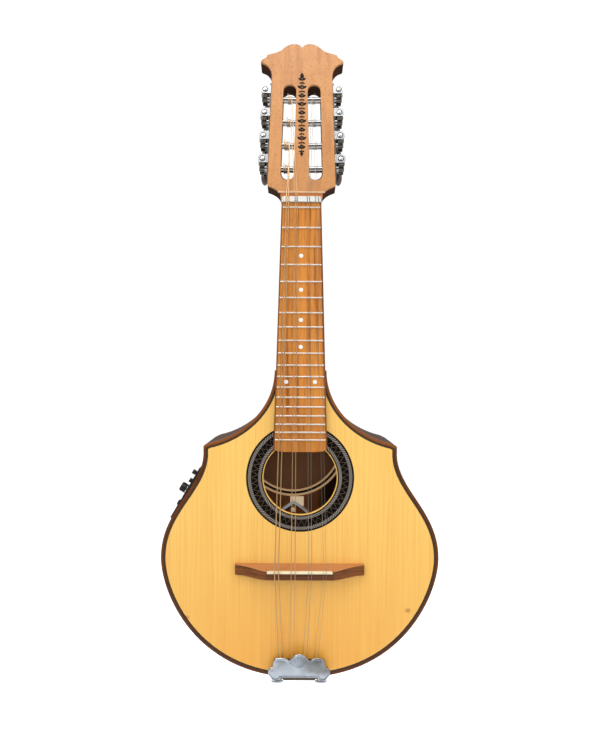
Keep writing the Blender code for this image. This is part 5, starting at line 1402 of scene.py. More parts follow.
def side_plate(side):
    bm = bmesh.new()
    place = side_place(side)
    low, high = post_s(0) - PLATE_OVERHANG, post_s(3) + WORM_OFFSET + PLATE_OVERHANG
    strip = [(PLATE_FRONT, low), (PLATE_BACK, low), (PLATE_BACK, high), (PLATE_FRONT, high)]
    walls = [[place @ Vector((side * out, n, s)) for n, s in strip] for out in PLATE_OUT]
    holes = [[ring_points(post_place(side, k), POST_RADIUS + GLUE_GAP, out) for out in PLATE_OUT]
             for k in POSTS]
    pierced(walls, holes, bm)
    for k in POSTS:
        s = post_s(k) + WORM_OFFSET
        inner = PLATE_OUT[1] - GLUE_GAP
        shape = [(inner, s - LUG_DROP), (WORM_STANDOFF + LUG_FLAT, s - LUG_DROP)]
        for j in range(19):
            angle = math.radians(-40.0 + 130.0 * j / 18)
            shape.append((WORM_STANDOFF + LUG_RADIUS * math.cos(angle), s + LUG_RADIUS * math.sin(angle)))
        shape.append((inner, s + LUG_RADIUS))
        for n in (LUG_FRONT, LUG_BACK):
            depths = (n, n + LUG_THICKNESS)
            lug = [[place @ Vector((side * out, depth, height)) for out, height in shape] for depth in depths]
            shaft_hole = [ring_points(key_place(side, k), SHAFT_RADIUS + GLUE_GAP, depth) for depth in depths]
            pierced(lug, [shaft_hole], bm)
        web = [place @ Vector((side * out, n, s)) for out, n in
               ((PLATE_OUT[0], LUG_FRONT), (PLATE_OUT[1], LUG_FRONT), (PLATE_OUT[1], PLATE_FRONT),
                (PLATE_OUT[0], PLATE_FRONT))]
        up = place.to_3x3() @ Vector((0.0, 0.0, 1.0))
        loft([[point + up * lift for point in web] for lift in (-LUG_DROP, LUG_RADIUS)], bm)
    return bm


# Painted shade: the strip and the back lugs, which lie behind the front lugs, are painted dark.
back = HEAD_PLACE.to_3x3() @ Vector((0.0, 1.0, 0.0))
y, z = lug_metal.parts(lug_metal.place())[1:]
depth = y * back.y + z * back.z - HEAD_PLACE.translation.dot(back)
depth_shade = ((depth - (LUG_FRONT + LUG_THICKNESS + 0.0001)) / 0.0004).held()
lug_metal.shade(Base_Color=lug_metal.mix(depth_shade * 0.8, paint(228, 230, 234), paint(66, 60, 56)))
for side_name, side in SIDES.items():
    plate = object_of("side_plate_" + side_name, side_plate(side), lug_metal, 30.0)
    mount(soften(plate, 0.00016), instead_of=("tuner_plate_" + side_name,))

# %% [markdown]
# Small slotted screws hold the strips to the wood, one between each two posts, each turned its own way. A
# head is two domed halves with the slot between them. The front lug of each worm has a dark turned ring,
# dark as painted shade, round the shaft's end, which is a paler metal as a painted highlight.

# %% Screws and bearing rings
SCREW_PROFILE = ((0.0021, -0.0002), (0.0021, 0.0003), (0.0018, 0.0007), (0.0010, 0.0010))
SLOT_HALF_WIDTH = 0.00022
SCREW_DEPTH, SCREW_ABOVE_POST = 0.0067, 0.0162


def screw_head(place, bm):
    """A domed screw head with a slot across it, standing on the XY plane of a place."""
    for half_turn in (0.0, math.pi):
        rings = []
        for radius, lift in SCREW_PROFILE:
            edge = math.asin(SLOT_HALF_WIDTH / radius)
            angles = [half_turn + edge + (math.pi - 2 * edge) * j / 12 for j in range(13)]
            rings.append([place @ Vector((radius * math.cos(a), radius * math.sin(a), lift)) for a in angles])
        loft(rings, bm)
    lathe([(-0.0002, 0.0), (-0.0002, 0.0019), (0.0003, 0.0019), (0.0003, 0.0)], 20, place, bm)


for side_name, side in SIDES.items():
    screws = bmesh.new()
    for k in POSTS[:3]:
        spot = Matrix.Translation((side * PLATE_OUT[1], SCREW_DEPTH, post_s(k) + SCREW_ABOVE_POST))
        turn = Matrix.Rotation(side * math.pi / 2, 4, "Y") @ Matrix.Rotation(0.7 * k + 0.4, 4, "Z")
        screw_head(side_place(side) @ spot @ turn, screws)
    mount(object_of("side_screws_" + side_name, screws, steel))
    rings = bmesh.new()
    for k in POSTS:
        lathe([(LUG_FRONT, RIVET_RADIUS + 0.0002), (LUG_FRONT - 0.0003, RIVET_RADIUS + 0.0003),
               (LUG_FRONT - 0.0003, RIVET_RADIUS + 0.0009), (LUG_FRONT, RIVET_RADIUS + 0.0011)],
              28, key_place(side, k), rings, closed=True)
    mount(object_of("bearing_rings_" + side_name, rings, worm_metal))

# %% [markdown]
# A post is a plain turned pin across the slot, and the wheel sits on its outer end. The wheel is a loft of
# toothed rings, each turned a little more than the last, so its teeth slant by the lead of the worm's
# thread.

# %% Posts with their wheels
TOOTH = ((-0.25, -DEDENDUM), (-0.17, -0.1 * ADDENDUM), (-0.10, ADDENDUM), (0.10, ADDENDUM),
         (0.17, -0.1 * ADDENDUM), (0.25, -DEDENDUM), (0.5, -DEDENDUM * 1.05))
POST_CHAMFER, POST_DOME = 0.0004, 0.0009


def gear_ring(along, twist):
    """Teeth of the wheel as a closed ring about Z."""
    ring = []
    for tooth in range(GEAR_TEETH):
        for share, rise in TOOTH:
            angle = (tooth + share) * math.tau / GEAR_TEETH + twist
            radius = GEAR_PITCH_RADIUS + rise
            ring.append(Vector((-radius * math.sin(angle), radius * math.cos(angle), along)))
    return ring


wheel_low = WORM_STANDOFF - GEAR_FACE_WIDTH / 2
wheel_high = WORM_STANDOFF + GEAR_FACE_WIDTH / 2
LEAD = math.atan2(WORM_PITCH, math.tau * WORM_PITCH_RADIUS)
half_twist = GEAR_FACE_WIDTH / 2 * math.tan(LEAD) / GEAR_PITCH_RADIUS
post_profile = [(POST_INNER_END, 0.0), (POST_INNER_END, POST_RADIUS - POST_CHAMFER),
                (POST_INNER_END + POST_CHAMFER, POST_RADIUS), (wheel_low, POST_RADIUS),
                (wheel_high, POST_RADIUS), (wheel_high + POST_DOME, POST_RADIUS - POST_DOME),
                (wheel_high + POST_DOME, 0.0)]
for side_name, side in SIDES.items():
    for k in POSTS:
        wheel = loft([gear_ring(wheel_low + GEAR_FACE_WIDTH * j / 4, half_twist * (j / 2 - 1))
                      for j in range(5)])
        wheel.transform(post_place(side, k))
        body = "post_%s_%d" % (side_name, k + 1)
        post = lathe(post_profile, 32, post_place(side, k))
        mount(object_of("string_" + body, post, post_metal, 30.0), body, (body,))
        mount(object_of("wheel_" + body, wheel, wheel_metal, 30.0), body)

# %% [markdown]
# The worm is one continuous ridge: the radius at any place is a function of how far along the thread that
# place is, so a grid bent round the shaft gives the true helix. Behind the lugs the shaft passes a ribbed
# ferrule and ends in an oval button.

# %% Worm, shaft and ferrule
WORM_TURNS = 2
RIDGE_FLANK, RIDGE_END = 0.16, 0.56
WORM_START = POST_DEPTH - WORM_PITCH * (1.0 + RIDGE_END / 2 + 0.25)
WORM_LENGTH = 3 * WORM_PITCH
WORM_ROWS, WORM_SIDES = 60, 32
SHAFT_MIDDLE, SHAFT_END = 0.0105, 0.0318
FERRULE_RADIUS, FERRULE_END, FERRULE_NECK = 0.0031, 0.0205, 0.0012
GROOVES, GROOVE_STEPS, GROOVE_DEPTH = 9, 4, 0.00022


def ridge(phase):
    """Height of the worm's ridge, 0 to 1, at a place counted in turns of the thread."""
    if not 0.0 <= phase < WORM_TURNS:
        return 0.0
    share = phase % 1.0
    return max(0.0, min(share / RIDGE_FLANK, (RIDGE_END - share) / RIDGE_FLANK, 1.0))


def worm_ring(along):
    ring = []
    for j in range(WORM_SIDES):
        angle = math.tau * j / WORM_SIDES
        phase = (along - WORM_START) / WORM_PITCH - angle / math.tau
        radius = WORM_PITCH_RADIUS - DEDENDUM + (ADDENDUM + DEDENDUM) * ridge(phase)
        ring.append(Vector((radius * math.cos(angle), radius * math.sin(angle), along)))
    return ring


def key_metal():
    bm = loft([worm_ring(WORM_START + WORM_LENGTH * i / WORM_ROWS) for i in range(WORM_ROWS + 1)])
    lathe([(LUG_FRONT, 0.0), (LUG_FRONT, SHAFT_RADIUS), (SHAFT_MIDDLE, SHAFT_RADIUS),
           (SHAFT_END, SHAFT_RADIUS), (SHAFT_END, 0.0)], 24, bm=bm)
    start = LUG_BACK + LUG_THICKNESS + 0.0005
    ferrule = [(start, 0.0)]
    for j in range(GROOVES * GROOVE_STEPS + 1):
        share = j / (GROOVES * GROOVE_STEPS)
        ripple = GROOVE_DEPTH * (1.0 - abs((j % GROOVE_STEPS) - 2.0) / 2.0)
        ferrule.append((start + (FERRULE_END - start) * share, FERRULE_RADIUS * (1.0 - 0.1 * share) - ripple))
    neck_at = FERRULE_END + FERRULE_NECK
    return lathe(ferrule + [(neck_at, SHAFT_RADIUS), (neck_at, 0.0)], 28, bm=bm)


print("worm: %.2f mm a turn, %d teeth on the wheel" % (WORM_PITCH * 1000, GEAR_TEETH))

# %% Buttons, and all the keys in place
BUTTON_CENTRE, BUTTON_LENGTH = 0.0385, 0.0135
BUTTON_HALF = (0.0040, 0.0080)
RIVET = ((-0.0007, 0.0), (-0.0007, RIVET_RADIUS - 0.0005), (-0.0004, RIVET_RADIUS),
         (-0.0002, RIVET_RADIUS), (0.0002, SHAFT_RADIUS), (0.0002, 0.0))


def key_button():
    """Ovals that swell and shrink again along the shaft."""
    wide, tall = BUTTON_HALF
    rings = []
    for k in range(1, 20):
        angle = math.pi * k / 20
        swell = math.sin(angle) ** 0.6
        along = BUTTON_CENTRE - BUTTON_LENGTH / 2 * math.cos(angle)
        rings.append([Vector((wide * swell * math.cos(a), tall * swell * math.sin(a), along))
                      for a in (math.tau * j / 28 for j in range(28))])
    return loft(rings)


for side_name, side in SIDES.items():
    for k in POSTS:
        body = "key_%s_%d" % (side_name, k + 1)
        metal_part = key_metal()
        metal_part.transform(key_place(side, k))
        mount(object_of("worm_" + body, metal_part, worm_metal, 40.0), body, (body,))
        # The shaft's end is a paler metal than the worm, as a painted highlight.
        rivet = lathe([(LUG_FRONT + along, radius) for along, radius in RIVET], 28, key_place(side, k))
        mount(object_of("rivet_" + body, rivet, fret_metal), body)
        button_part = key_button()
        button_part.transform(key_place(side, k))
        mount(object_of("button_" + body, button_part, button_horn), body)

# %% [markdown]
# ## Strings
# Eight strings in four pairs run from the tailpiece's hooks over the saddle, the zero fret and the nut
# to their posts, and take three turns there. The last straight part meets the turns as a tangent. The
# points are worked out first, and a recipe sweeps a round wire along them. A row of the table holds a
# string's thickness, its x at the nut, the saddle and the tail, its post, and its x there.

# %% The route of a string
SADDLE_Z = -0.3614
SADDLE_HEIGHT = 0.0130
HOOK_Z = -0.4570
STRINGS = (("g_outer", 0.00100, -0.0146, -0.0241, -0.0196, 0, -0.0130),
           ("g_inner", 0.00100, -0.0125, -0.0203, -0.0158, 1, -0.0125),
           ("d_outer", 0.00066, -0.0060, -0.0081, -0.0094, 2, -0.0112),
           ("d_inner", 0.00066, -0.0041, -0.0044, -0.0056, 3, -0.0104),
           ("a_inner", 0.00038, 0.0056, 0.0085, 0.0030, 3, 0.0104),
           ("a_outer", 0.00038, 0.0078, 0.0116, 0.0068, 2, 0.0112),
           ("e_inner", 0.00028, 0.0135, 0.0231, 0.0136, 1, 0.0125),
           ("e_outer", 0.00028, 0.0163, 0.0257, 0.0174, 0, 0.0138))
HOOK_DEPTH, HOOK_REACH = 0.0038, 0.0010
TURNS_ON_POST = 3
STEPS_A_TURN = 24
TURN_GAP = 0.00055
TAIL_END = 0.0045


def string_path(diameter, nut_x, saddle_x, tail_x, post, post_x):
    radius = diameter / 2
    side = -1 if nut_x < 0 else 1
    lift = GLUE_GAP + radius
    nut_y = BOARD_FACE - FRET_SIZE[1] - lift
    points = [Vector((tail_x, -HOOK_DEPTH, HOOK_Z - HOOK_REACH)),
              Vector((saddle_x, -SADDLE_HEIGHT - lift, SADDLE_Z)),
              Vector((nut_x, nut_y, ZERO_FRET_Z)), Vector((nut_x, nut_y, NUT_THICKNESS / 2))]
    place = post_place(side, post)
    axis = (place.to_3x3() @ Vector((0.0, 0.0, 1.0))).normalized()
    meet = place.translation + axis * ((post_x - place.translation.x) / axis.x)
    wrap = POST_RADIUS + GLUE_GAP + radius
    flat_reach = (meet - points[-1]) - axis * (meet - points[-1]).dot(axis)
    up = flat_reach.normalized()
    away = axis.cross(up)
    if away.y > 0:
        away = -away
    begin = math.pi / 2 + math.asin(wrap / flat_reach.length)
    for step in range(TURNS_ON_POST * STEPS_A_TURN + 1):
        angle = begin - math.tau * step / STEPS_A_TURN
        along = axis * ((diameter + TURN_GAP) * step / STEPS_A_TURN)
        points.append(meet + along + up * (wrap * math.cos(angle)) + away * (wrap * math.sin(angle)))
    leaving = (points[-1] - points[-2]).normalized()
    return points + [points[-1] + leaving * TAIL_END]


print("strings:", len(STRINGS))

# %% Strings
def wire(name, points, radius, finish, sides=12):
    """A round wire swept along points by a recipe."""
    recipe = Recipe(name)
    thickness = recipe.input("Radius", radius)
    around = recipe.input("Sides", sides, "Int")
    profile = recipe.node("GeometryNodeCurvePrimitiveCircle", {}, {"Resolution": around, "Radius": thickness})
    tube = recipe.node("GeometryNodeCurveToMesh", {},
                       {"Curve": recipe.path(), "Profile Curve": profile, "Fill Caps": True})
    return recipe.run(tube, finish, polyline(name, points), smooth=60.0)


for name, diameter, *places in STRINGS:
    finish = bronze if places[0] < 0 else steel
    made = wire("wire_" + name, string_path(diameter, *places), diameter / 2, finish)
    mount(made, instead_of=("string_" + name,))

# %% [markdown]
# ## Bridge
# The bridge floats on the top, held by the strings alone. It is low and flat at both wings and rises to a
# crown in the middle, where its front is cut back as a slope that catches the light. It is a loft of
# five-sided rings along X, closer together where the height changes.

# %% Bridge
BRIDGE_HALF_LENGTH = 0.0632
BRIDGE_HEAD_Z = -0.3562
BRIDGE_HEIGHT, WING_HEIGHT = 0.0112, 0.0042
CROWN_DEPTH, WING_DEPTH = 0.0136, 0.0105
SLOPE_TIP, SLOPE_RISE, SLOPE_SPAN, SLOPE_CURVE = 0.0004, 0.0042, 0.478, 1.35
STATIONS = ((-1.0, 0.0), (-0.88, 0.14), (-0.76, 0.44), (-0.62, 0.82), (-0.522, 1.0))
RING_SHARES = (-1.0, -0.995, -0.94, -0.88, -0.82, -0.76, -0.69, -0.62, -0.57, -0.522)
CROWN_FALL, FOOT_PRESS, BACK_STEP = 0.0008, 0.00003, 0.0010
SEAT_HALF_LENGTH, SEAT_HALF_WIDTH, SEAT_REACH = 0.0321, 0.0012, 0.004


def crown_at(share):
    """How far the bridge has risen, 0 at its tips and 1 at the crown."""
    for (x0, rise0), (x1, rise1) in zip(STATIONS, STATIONS[1:]):
        if share <= x1:
            return rise0 + (rise1 - rise0) * (share - x0) / (x1 - x0)
    return 1.0


def bridge_ring(x):
    crown = crown_at(-abs(x) / BRIDGE_HALF_LENGTH)
    height = WING_HEIGHT + (BRIDGE_HEIGHT - WING_HEIGHT) * crown
    tail = BRIDGE_HEAD_Z - (WING_DEPTH + (CROWN_DEPTH - WING_DEPTH) * crown)
    lean = SLOPE_TIP + SLOPE_RISE * min((1.0 - abs(x) / BRIDGE_HALF_LENGTH) / SLOPE_SPAN, 1.0) ** SLOPE_CURVE
    fall = CROWN_FALL * crown
    return [Vector((x, y, z)) for y, z in (
        (-FOOT_PRESS, BRIDGE_HEAD_Z), (-height, BRIDGE_HEAD_Z - lean), (-height + fall, tail + BACK_STEP),
        (-height + 1.5 * fall + BACK_STEP, tail), (-FOOT_PRESS, tail))]


bridge_x = [BRIDGE_HALF_LENGTH * share for share in RING_SHARES]
bridge_x += [-x for x in reversed(bridge_x)]
bridge = object_of("bridge_wood", loft([bridge_ring(x) for x in bridge_x]), bridge_wood)
seat = brick((-SEAT_HALF_LENGTH, -BRIDGE_HEIGHT - SEAT_REACH, SADDLE_Z - SEAT_HALF_WIDTH),
             (SEAT_HALF_LENGTH, -BRIDGE_HEIGHT + SEAT_REACH, SADDLE_Z + SEAT_HALF_WIDTH))
cut(bridge, object_of("saddle_seat", seat, bridge_wood))
mount(soften(bridge, 0.0004, 30.0), instead_of=("bridge",))

# %% [markdown]
# The slope is painted paler than the rest, as a highlight where the light from above falls on it, with a
# line of painted shade along its crease, and a painted shadow darkens the wood behind the saddle. The same
# formula that leans the slope says where its crease runs.

# %% Painted light and shade on the bridge, and the saddle
BEHIND_SADDLE, BEHIND_HALF_LENGTH = 0.0008, 0.0335
CREASE_SHADE_HALF_LENGTH, CREASE_SHADE_FADE, CREASE_SHADE_WIDTH, CREASE_SHADE_BELOW = 0.0560, 0.0120, 0.0009, 0.0008

x, z = bridge_wood.parts(bridge_wood.place())[::2]
crease = SLOPE_TIP + ((1.0 - abs(x) / BRIDGE_HALF_LENGTH) / SLOPE_SPAN).held() ** SLOPE_CURVE * SLOPE_RISE
# Painted highlight: the slope is paler, where the light from above falls on it.
on_slope = ((z - BRIDGE_HEAD_Z + crease) / 0.0003 + 0.5).held()
# Painted shadow: the wood just behind the saddle is darker.
behind = ((SADDLE_Z - BEHIND_SADDLE - z) / 0.0006).held() * ((BEHIND_HALF_LENGTH - abs(x)) / 0.0010).held()
bridge_wood.over(on_slope * 0.8, paint(198, 132, 80))
# Painted shade: a dark line along the slope's crease.
near_crown = ((CREASE_SHADE_HALF_LENGTH - abs(x)) / CREASE_SHADE_FADE).held()
crease_shade = (1.0 - abs(z - BRIDGE_HEAD_Z + crease + CREASE_SHADE_BELOW) / CREASE_SHADE_WIDTH).held() * near_crown
bridge_wood.over(crease_shade * 0.55, paint(52, 34, 22))
bridge_wood.over(behind * 0.40, paint(70, 34, 14))
bridge_wood.shade(Specular_IOR_Level=0.2)
refined("saddle", "saddle_blade", saddle_bone, 0.0007)

# %% [markdown]
# ## Tailpiece
# The strings' ends sit on hooks under a pressed cover shaped like a small cloud. Pressing leaves a round
# rim along the edge. The cover is built as loops that step in from the edge: up over the rim, down into
# a shallow trough and onto the raised field. Its plating turns darker and browner towards the upper right.

# %% Tailpiece cover
COVER_FRONT = -0.0096
COVER_SHEET = 0.0010
BASE_HALF_WIDTH = 0.0270
FLANGE_LOW_Z, FLANGE_HIGH_Z, FLANGE_FOOT_Y = -0.4630, -0.4575, -0.0009
RIM = ((0.0024, 0.00026), (0.0018, 0.00048), (0.0014, 0.00026), (0.0011, 0.00002), (0.0008, 0.0),
       (0.0004, 0.00022), (0.0, 0.00065), (0.0, COVER_SHEET))
BROWNING_FROM_X, BROWNING_FROM_Z = -0.0020, -0.4625


def cover_outline(steps=12):
    half = bezier((0.0, -0.4412), (0.0042, -0.4412), (0.0062, -0.4440), (0.0101, -0.4478), steps)
    half += bezier((0.0101, -0.4478), (0.0120, -0.4452), (0.0165, -0.4447), (0.0205, -0.4450), steps)
    half += bezier((0.0205, -0.4450), (0.0243, -0.4452), (0.0258, -0.4475), (0.0256, -0.4535), steps)
    half += bezier((0.0256, -0.4540), (0.0300, -0.4533), (0.0330, -0.4610), (0.0262, -0.4648), steps)
    half += [(0.0258, -0.4664), (0.0186, -0.4664), (0.0180, -0.4638), (0.0, -0.4636)]
    full = half + [(-x, z) for x, z in reversed(half[1:-1])]
    return full[::-1]


x, z = stamped_plate.parts(stamped_plate.place())[::2]
smudge = stamped_plate.noise(stamped_plate.place(), scale=150.0, detail=2.0)
# The plating turns darker and browner towards the upper right.
browning = ((x - BROWNING_FROM_X) / 0.0120).held() * ((z - BROWNING_FROM_Z + (smudge - 0.5) * 0.006) / 0.0050).held()
plated = stamped_plate.mix(((smudge - 0.40) * 2.0).held(), paint(196, 204, 214), paint(178, 187, 197))
stamped_plate.shade(Base_Color=stamped_plate.mix(browning * 0.62, plated, paint(122, 117, 112)))

edge = cover_outline()
cover_wall = [flat(shrink(edge, step), COVER_FRONT + drop) for step, drop in RIM]
mount(object_of("cover_plate", pierced(cover_wall, []), stamped_plate, 50.0), "tailpiece_cover",
      ("tailpiece_cover",))

flanges = bmesh.new()
near = BASE_HALF_WIDTH + GLUE_GAP
for side in (-1.0, 1.0):
    xs = sorted((side * near, side * (near + COVER_SHEET)))
    brick((xs[0], COVER_FRONT + COVER_SHEET / 2, FLANGE_LOW_Z), (xs[1], FLANGE_FOOT_Y, FLANGE_HIGH_Z),
          flanges)
mount(soften(object_of("cover_flanges", flanges, stamped_plate), 0.0003), "tailpiece_cover")

# %% [markdown]
# A fan of creases fills the middle lobe and a row of beads crosses the field below it. The fan is one thin
# cone set at a point many times, each turned a step further; the beads follow a slightly wavy line.

# %% Fan and beads of the cover
FAN_RAYS, FAN_SPREAD, RAY_LENGTH = 9, math.radians(128.0), 0.0104
FAN_Z, FAN_SUNK = -0.4545, 0.00022
BEAD_SPACING, BEAD_RADIUS, BEAD_SUNK = 0.00125, 0.00046, 0.00028
BEADS_Z, BEADS_HALF_LENGTH, BEADS_WAVE = -0.4625, 0.0160, 0.0004

recipe = Recipe("cover_fan")
rays = recipe.input("Rays", FAN_RAYS, "Int")
spread = recipe.input("Spread", FAN_SPREAD)
length = recipe.input("Length", RAY_LENGTH)
index = recipe.node("GeometryNodeInputIndex")
turn = (index / (rays - 1.0) - 0.5) * spread
spots = recipe.node("GeometryNodeMeshLine", {"mode": "OFFSET"}, {"Count": rays})
hub = recipe.node("GeometryNodeSetPosition", {},
                  {"Geometry": spots, "Position": recipe.vector(0.0, COVER_FRONT + FAN_SUNK, FAN_Z)})
ray = recipe.node("GeometryNodeMeshCone", {},
                  {"Vertices": 10, "Radius Top": 0.00062, "Radius Bottom": 0.00010, "Depth": length})
tilt = recipe.node("FunctionNodeEulerToRotation", {}, {0: recipe.vector(0.0, turn, 0.0)})
fan = recipe.node("GeometryNodeInstanceOnPoints", {}, {"Points": hub, "Instance": ray, "Rotation": tilt})
mount(recipe.run(fan, stamped_plate, smooth=60.0), "tailpiece_cover")

recipe = Recipe("cover_beads")
gap = recipe.input("Spacing", BEAD_SPACING)
size = recipe.input("Bead size", BEAD_RADIUS)
beads_at = recipe.node("GeometryNodeCurveToPoints", {"mode": "LENGTH"},
                       {"Curve": recipe.path(), "Length": gap})
bead = recipe.node("GeometryNodeMeshUVSphere", {}, {"Segments": 10, "Rings": 6, "Radius": size})
beads = recipe.node("GeometryNodeInstanceOnPoints", {}, {"Points": beads_at, "Instance": bead})
bead_x = [BEADS_HALF_LENGTH * (j / 12 - 1.0) for j in range(25)]
bead_line = [(x, COVER_FRONT + BEAD_SUNK, BEADS_Z + BEADS_WAVE * math.cos(x * 500.0)) for x in bead_x]
mount(recipe.run(beads, stamped_plate, polyline("cover_beads", bead_line), 60.0), "tailpiece_cover")

# %% [markdown]
# The base is the model's own plate. Two corners that would show beside the cover are cut away, and so are
# its plain feet, which give way to a pair of rounded ones turned like small barrels.

# %% Tailpiece base and feet
FOOT_CENTRE, FOOT_HALF_LENGTH, FOOT_RADIUS = (0.0214, -0.0034, -0.4703), 0.0058, 0.0018
CUTS = (((0.0246, -0.0040, -0.4592), (0.0300, 0.0010, -0.4400)),
        ((0.0158, -0.0070, -0.4740), (0.0290, 0.0010, -0.4694)))

# The base's finish is the darker metal, painted as the shadow under the cover.
base = refined("tailpiece_base", "base_plate", base_metal, 0.00035)
corners = bmesh.new()
feet = bmesh.new()
angles = [math.pi * k / 12 for k in range(1, 12)]
foot = [(-FOOT_HALF_LENGTH * math.cos(a), FOOT_RADIUS * math.sin(a) ** 0.75) for a in angles]
foot = [(-FOOT_HALF_LENGTH, 0.0)] + foot + [(FOOT_HALF_LENGTH, 0.0)]
for side in (-1.0, 1.0):
    for low, high in CUTS:
        xs = sorted((side * low[0], side * high[0]))
        brick((xs[0], low[1], low[2]), (xs[1], high[1], high[2]), corners)
    x, y, z = FOOT_CENTRE
    across = Matrix.Translation((side * x, y, z)) @ Matrix.Rotation(math.pi / 2, 4, "Y")
    lathe(foot, 20, across, feet)
cut(base, object_of("corner_cutter", corners, stamped_plate))
mount(object_of("base_feet", feet, stamped_plate, 60.0))

# %% [markdown]
# ## Preamplifier
# A moulded plastic panel stands a little proud of the bass rib. It carries three knobs, a push button and
# the face of the battery tray, which slides out with its battery. The two small knobs are short stepped
# caps turned about the panel's outward axis.

# %% Preamplifier panel and small knobs
refined("preamp_housing", "panel_housing", panel_plastic, 0.0004)
refined("battery_tray", "tray", black_plastic, 0.0004, "battery_tray")
refined("battery", "battery_block", battery_case, 0.0010, "battery_tray")

KNOB_STEM_RADIUS = 0.0015
STEM_DEPTH = 0.0080
SMALL_KNOBS = (("knob_bass", 0.0084, -0.0020, 0.0040), ("knob_treble", 0.0200, -0.0100, 0.0050))


def on_panel(up, back):
    """Frame of a knob on the panel, with its Z axis pointing out."""
    return PANEL @ Matrix.Translation((up, back, 0.0))


stem = [(-STEM_DEPTH, 0.0), (-STEM_DEPTH, KNOB_STEM_RADIUS)]
for name, up, back, top in SMALL_KNOBS:
    small = stem + [(0.0004, KNOB_STEM_RADIUS), (0.0004, 0.0020), (0.0014, 0.0020), (0.0018, 0.0024),
                    (top - 0.0004, 0.0024), (top, 0.0021), (top, 0.0)]
    cap = object_of(name + "_cap", lathe(small, 32, on_panel(up, back)), knob_plastic)
    mount(cap, name, (name,))

# %% [markdown]
# The large knob has a bright ring at its foot and grip ribs all round, which a recipe sets on a circle.
# The push button is a low dome.

# %% Volume knob and push button
VOLUME_RING = ((0.0003, 0.0036), (0.0003, 0.0050), (0.0010, 0.0050), (0.0012, 0.0048), (0.0012, 0.0036))
RIB_COUNT, RIB_RING, RIB_SIZE, RIB_LIFT = 26, 0.0045, (0.0006, 0.00046, 0.0052), 0.0039
BUTTON_P, BUTTON_Y = -0.0145, -0.0120
BUTTON_DOME = ((-0.0065, 0.0), (-0.0065, 0.0032), (0.0007, 0.0032), (0.0014, 0.0029), (0.0019, 0.0022),
               (0.0022, 0.0012), (0.0022, 0.0))

large = stem + [(0.0003, KNOB_STEM_RADIUS), (0.0003, 0.0046), (0.0070, 0.0045), (0.0076, 0.0043),
                (0.0078, 0.0040), (0.0078, 0.0)]
volume_place = on_panel(VOLUME_P, VOLUME_Y)
mount(object_of("knob_volume_body", lathe(large, 40, volume_place), knob_plastic), "knob_volume",
      ("knob_volume",))
mount(object_of("knob_volume_ring", lathe(VOLUME_RING, 40, volume_place, closed=True), chrome),
      "knob_volume")

recipe = Recipe("knob_volume_ribs")
ribs = recipe.input("Ribs", RIB_COUNT, "Int")
ring_radius = recipe.input("Ring radius", RIB_RING)
rib_size = recipe.input("Rib size", RIB_SIZE, "Vector")
circle_line = recipe.node("GeometryNodeMeshCircle", {"fill_type": "NONE"},
                          {"Vertices": ribs, "Radius": ring_radius})
grip = recipe.node("GeometryNodeMeshCube", {}, {"Size": rib_size})
index = recipe.node("GeometryNodeInputIndex")
facing = recipe.node("FunctionNodeEulerToRotation", {}, {0: recipe.vector(0.0, 0.0, index * math.tau / ribs)})
around = recipe.node("GeometryNodeInstanceOnPoints", {},
                     {"Points": circle_line, "Instance": grip, "Rotation": facing})
grips = recipe.run(around, knob_plastic, smooth=20.0)
grips.data.transform(volume_place @ Matrix.Translation((0.0, 0.0, RIB_LIFT)))
mount(grips, "knob_volume")
dome = object_of("push_button_dome", lathe(BUTTON_DOME, 36, on_panel(BUTTON_P, BUTTON_Y)), knob_plastic)
mount(dome, "push_button", ("push_button",))

# %% [markdown]
# The output jack goes through the tail block and is held by a nut inside. Its outer end serves as the
# strap's button, so its profile swells to a lip. It is hollow, and its profile is a closed ring.

# %% Output jack
JACK_Y = 0.0450
JACK_BORE, TIP_BORE, BARREL_RADIUS = 0.0033, 0.0020, 0.0046
NUT_RADIUS, NUT_HEIGHT = 0.0070, 0.0024
TAIL_WALL, TAIL_BLOCK_DEPTH, JACK_INSIDE = 0.0029, 0.018, 0.009
OUTSIDE = ((0.0, 0.0080), (0.0016, 0.0080), (0.0020, 0.0077), (0.0038, 0.0055), (0.0080, 0.0052),
           (0.0090, 0.0064), (0.0100, 0.0068), (0.0116, 0.0064), (0.0120, 0.0060), (0.0120, 0.0036),
           (0.0116, JACK_BORE))

face = TAIL_Z - GLUE_GAP
block_end = TAIL_Z + TAIL_WALL + TAIL_BLOCK_DEPTH
inner, nut_seat = block_end + JACK_INSIDE, block_end + GLUE_GAP
jack = [(inner, BARREL_RADIUS), (nut_seat + NUT_HEIGHT, BARREL_RADIUS), (nut_seat + NUT_HEIGHT, NUT_RADIUS),
        (nut_seat, NUT_RADIUS), (nut_seat, BARREL_RADIUS), (face, BARREL_RADIUS)]
jack += [(face - out, radius) for out, radius in OUTSIDE]
jack += [(inner - 0.0030, JACK_BORE), (inner - 0.0030, TIP_BORE), (inner, TIP_BORE)]
barrel = lathe(jack, 48, Matrix.Translation((0.0, JACK_Y, 0.0)), closed=True)
mount(object_of("jack_barrel", barrel, chrome, 30.0), instead_of=("output_jack",))
for node_name in ("output_lead", "pickup_lead"):
    dress(node_name, cable_black)

# %% [markdown]
# ## Inside the sound hole
# A round paper label is glued to the back, a little to the bass side, with a bare middle and a border of
# plain rings. It is trimmed straight where it meets the back's upper brace.

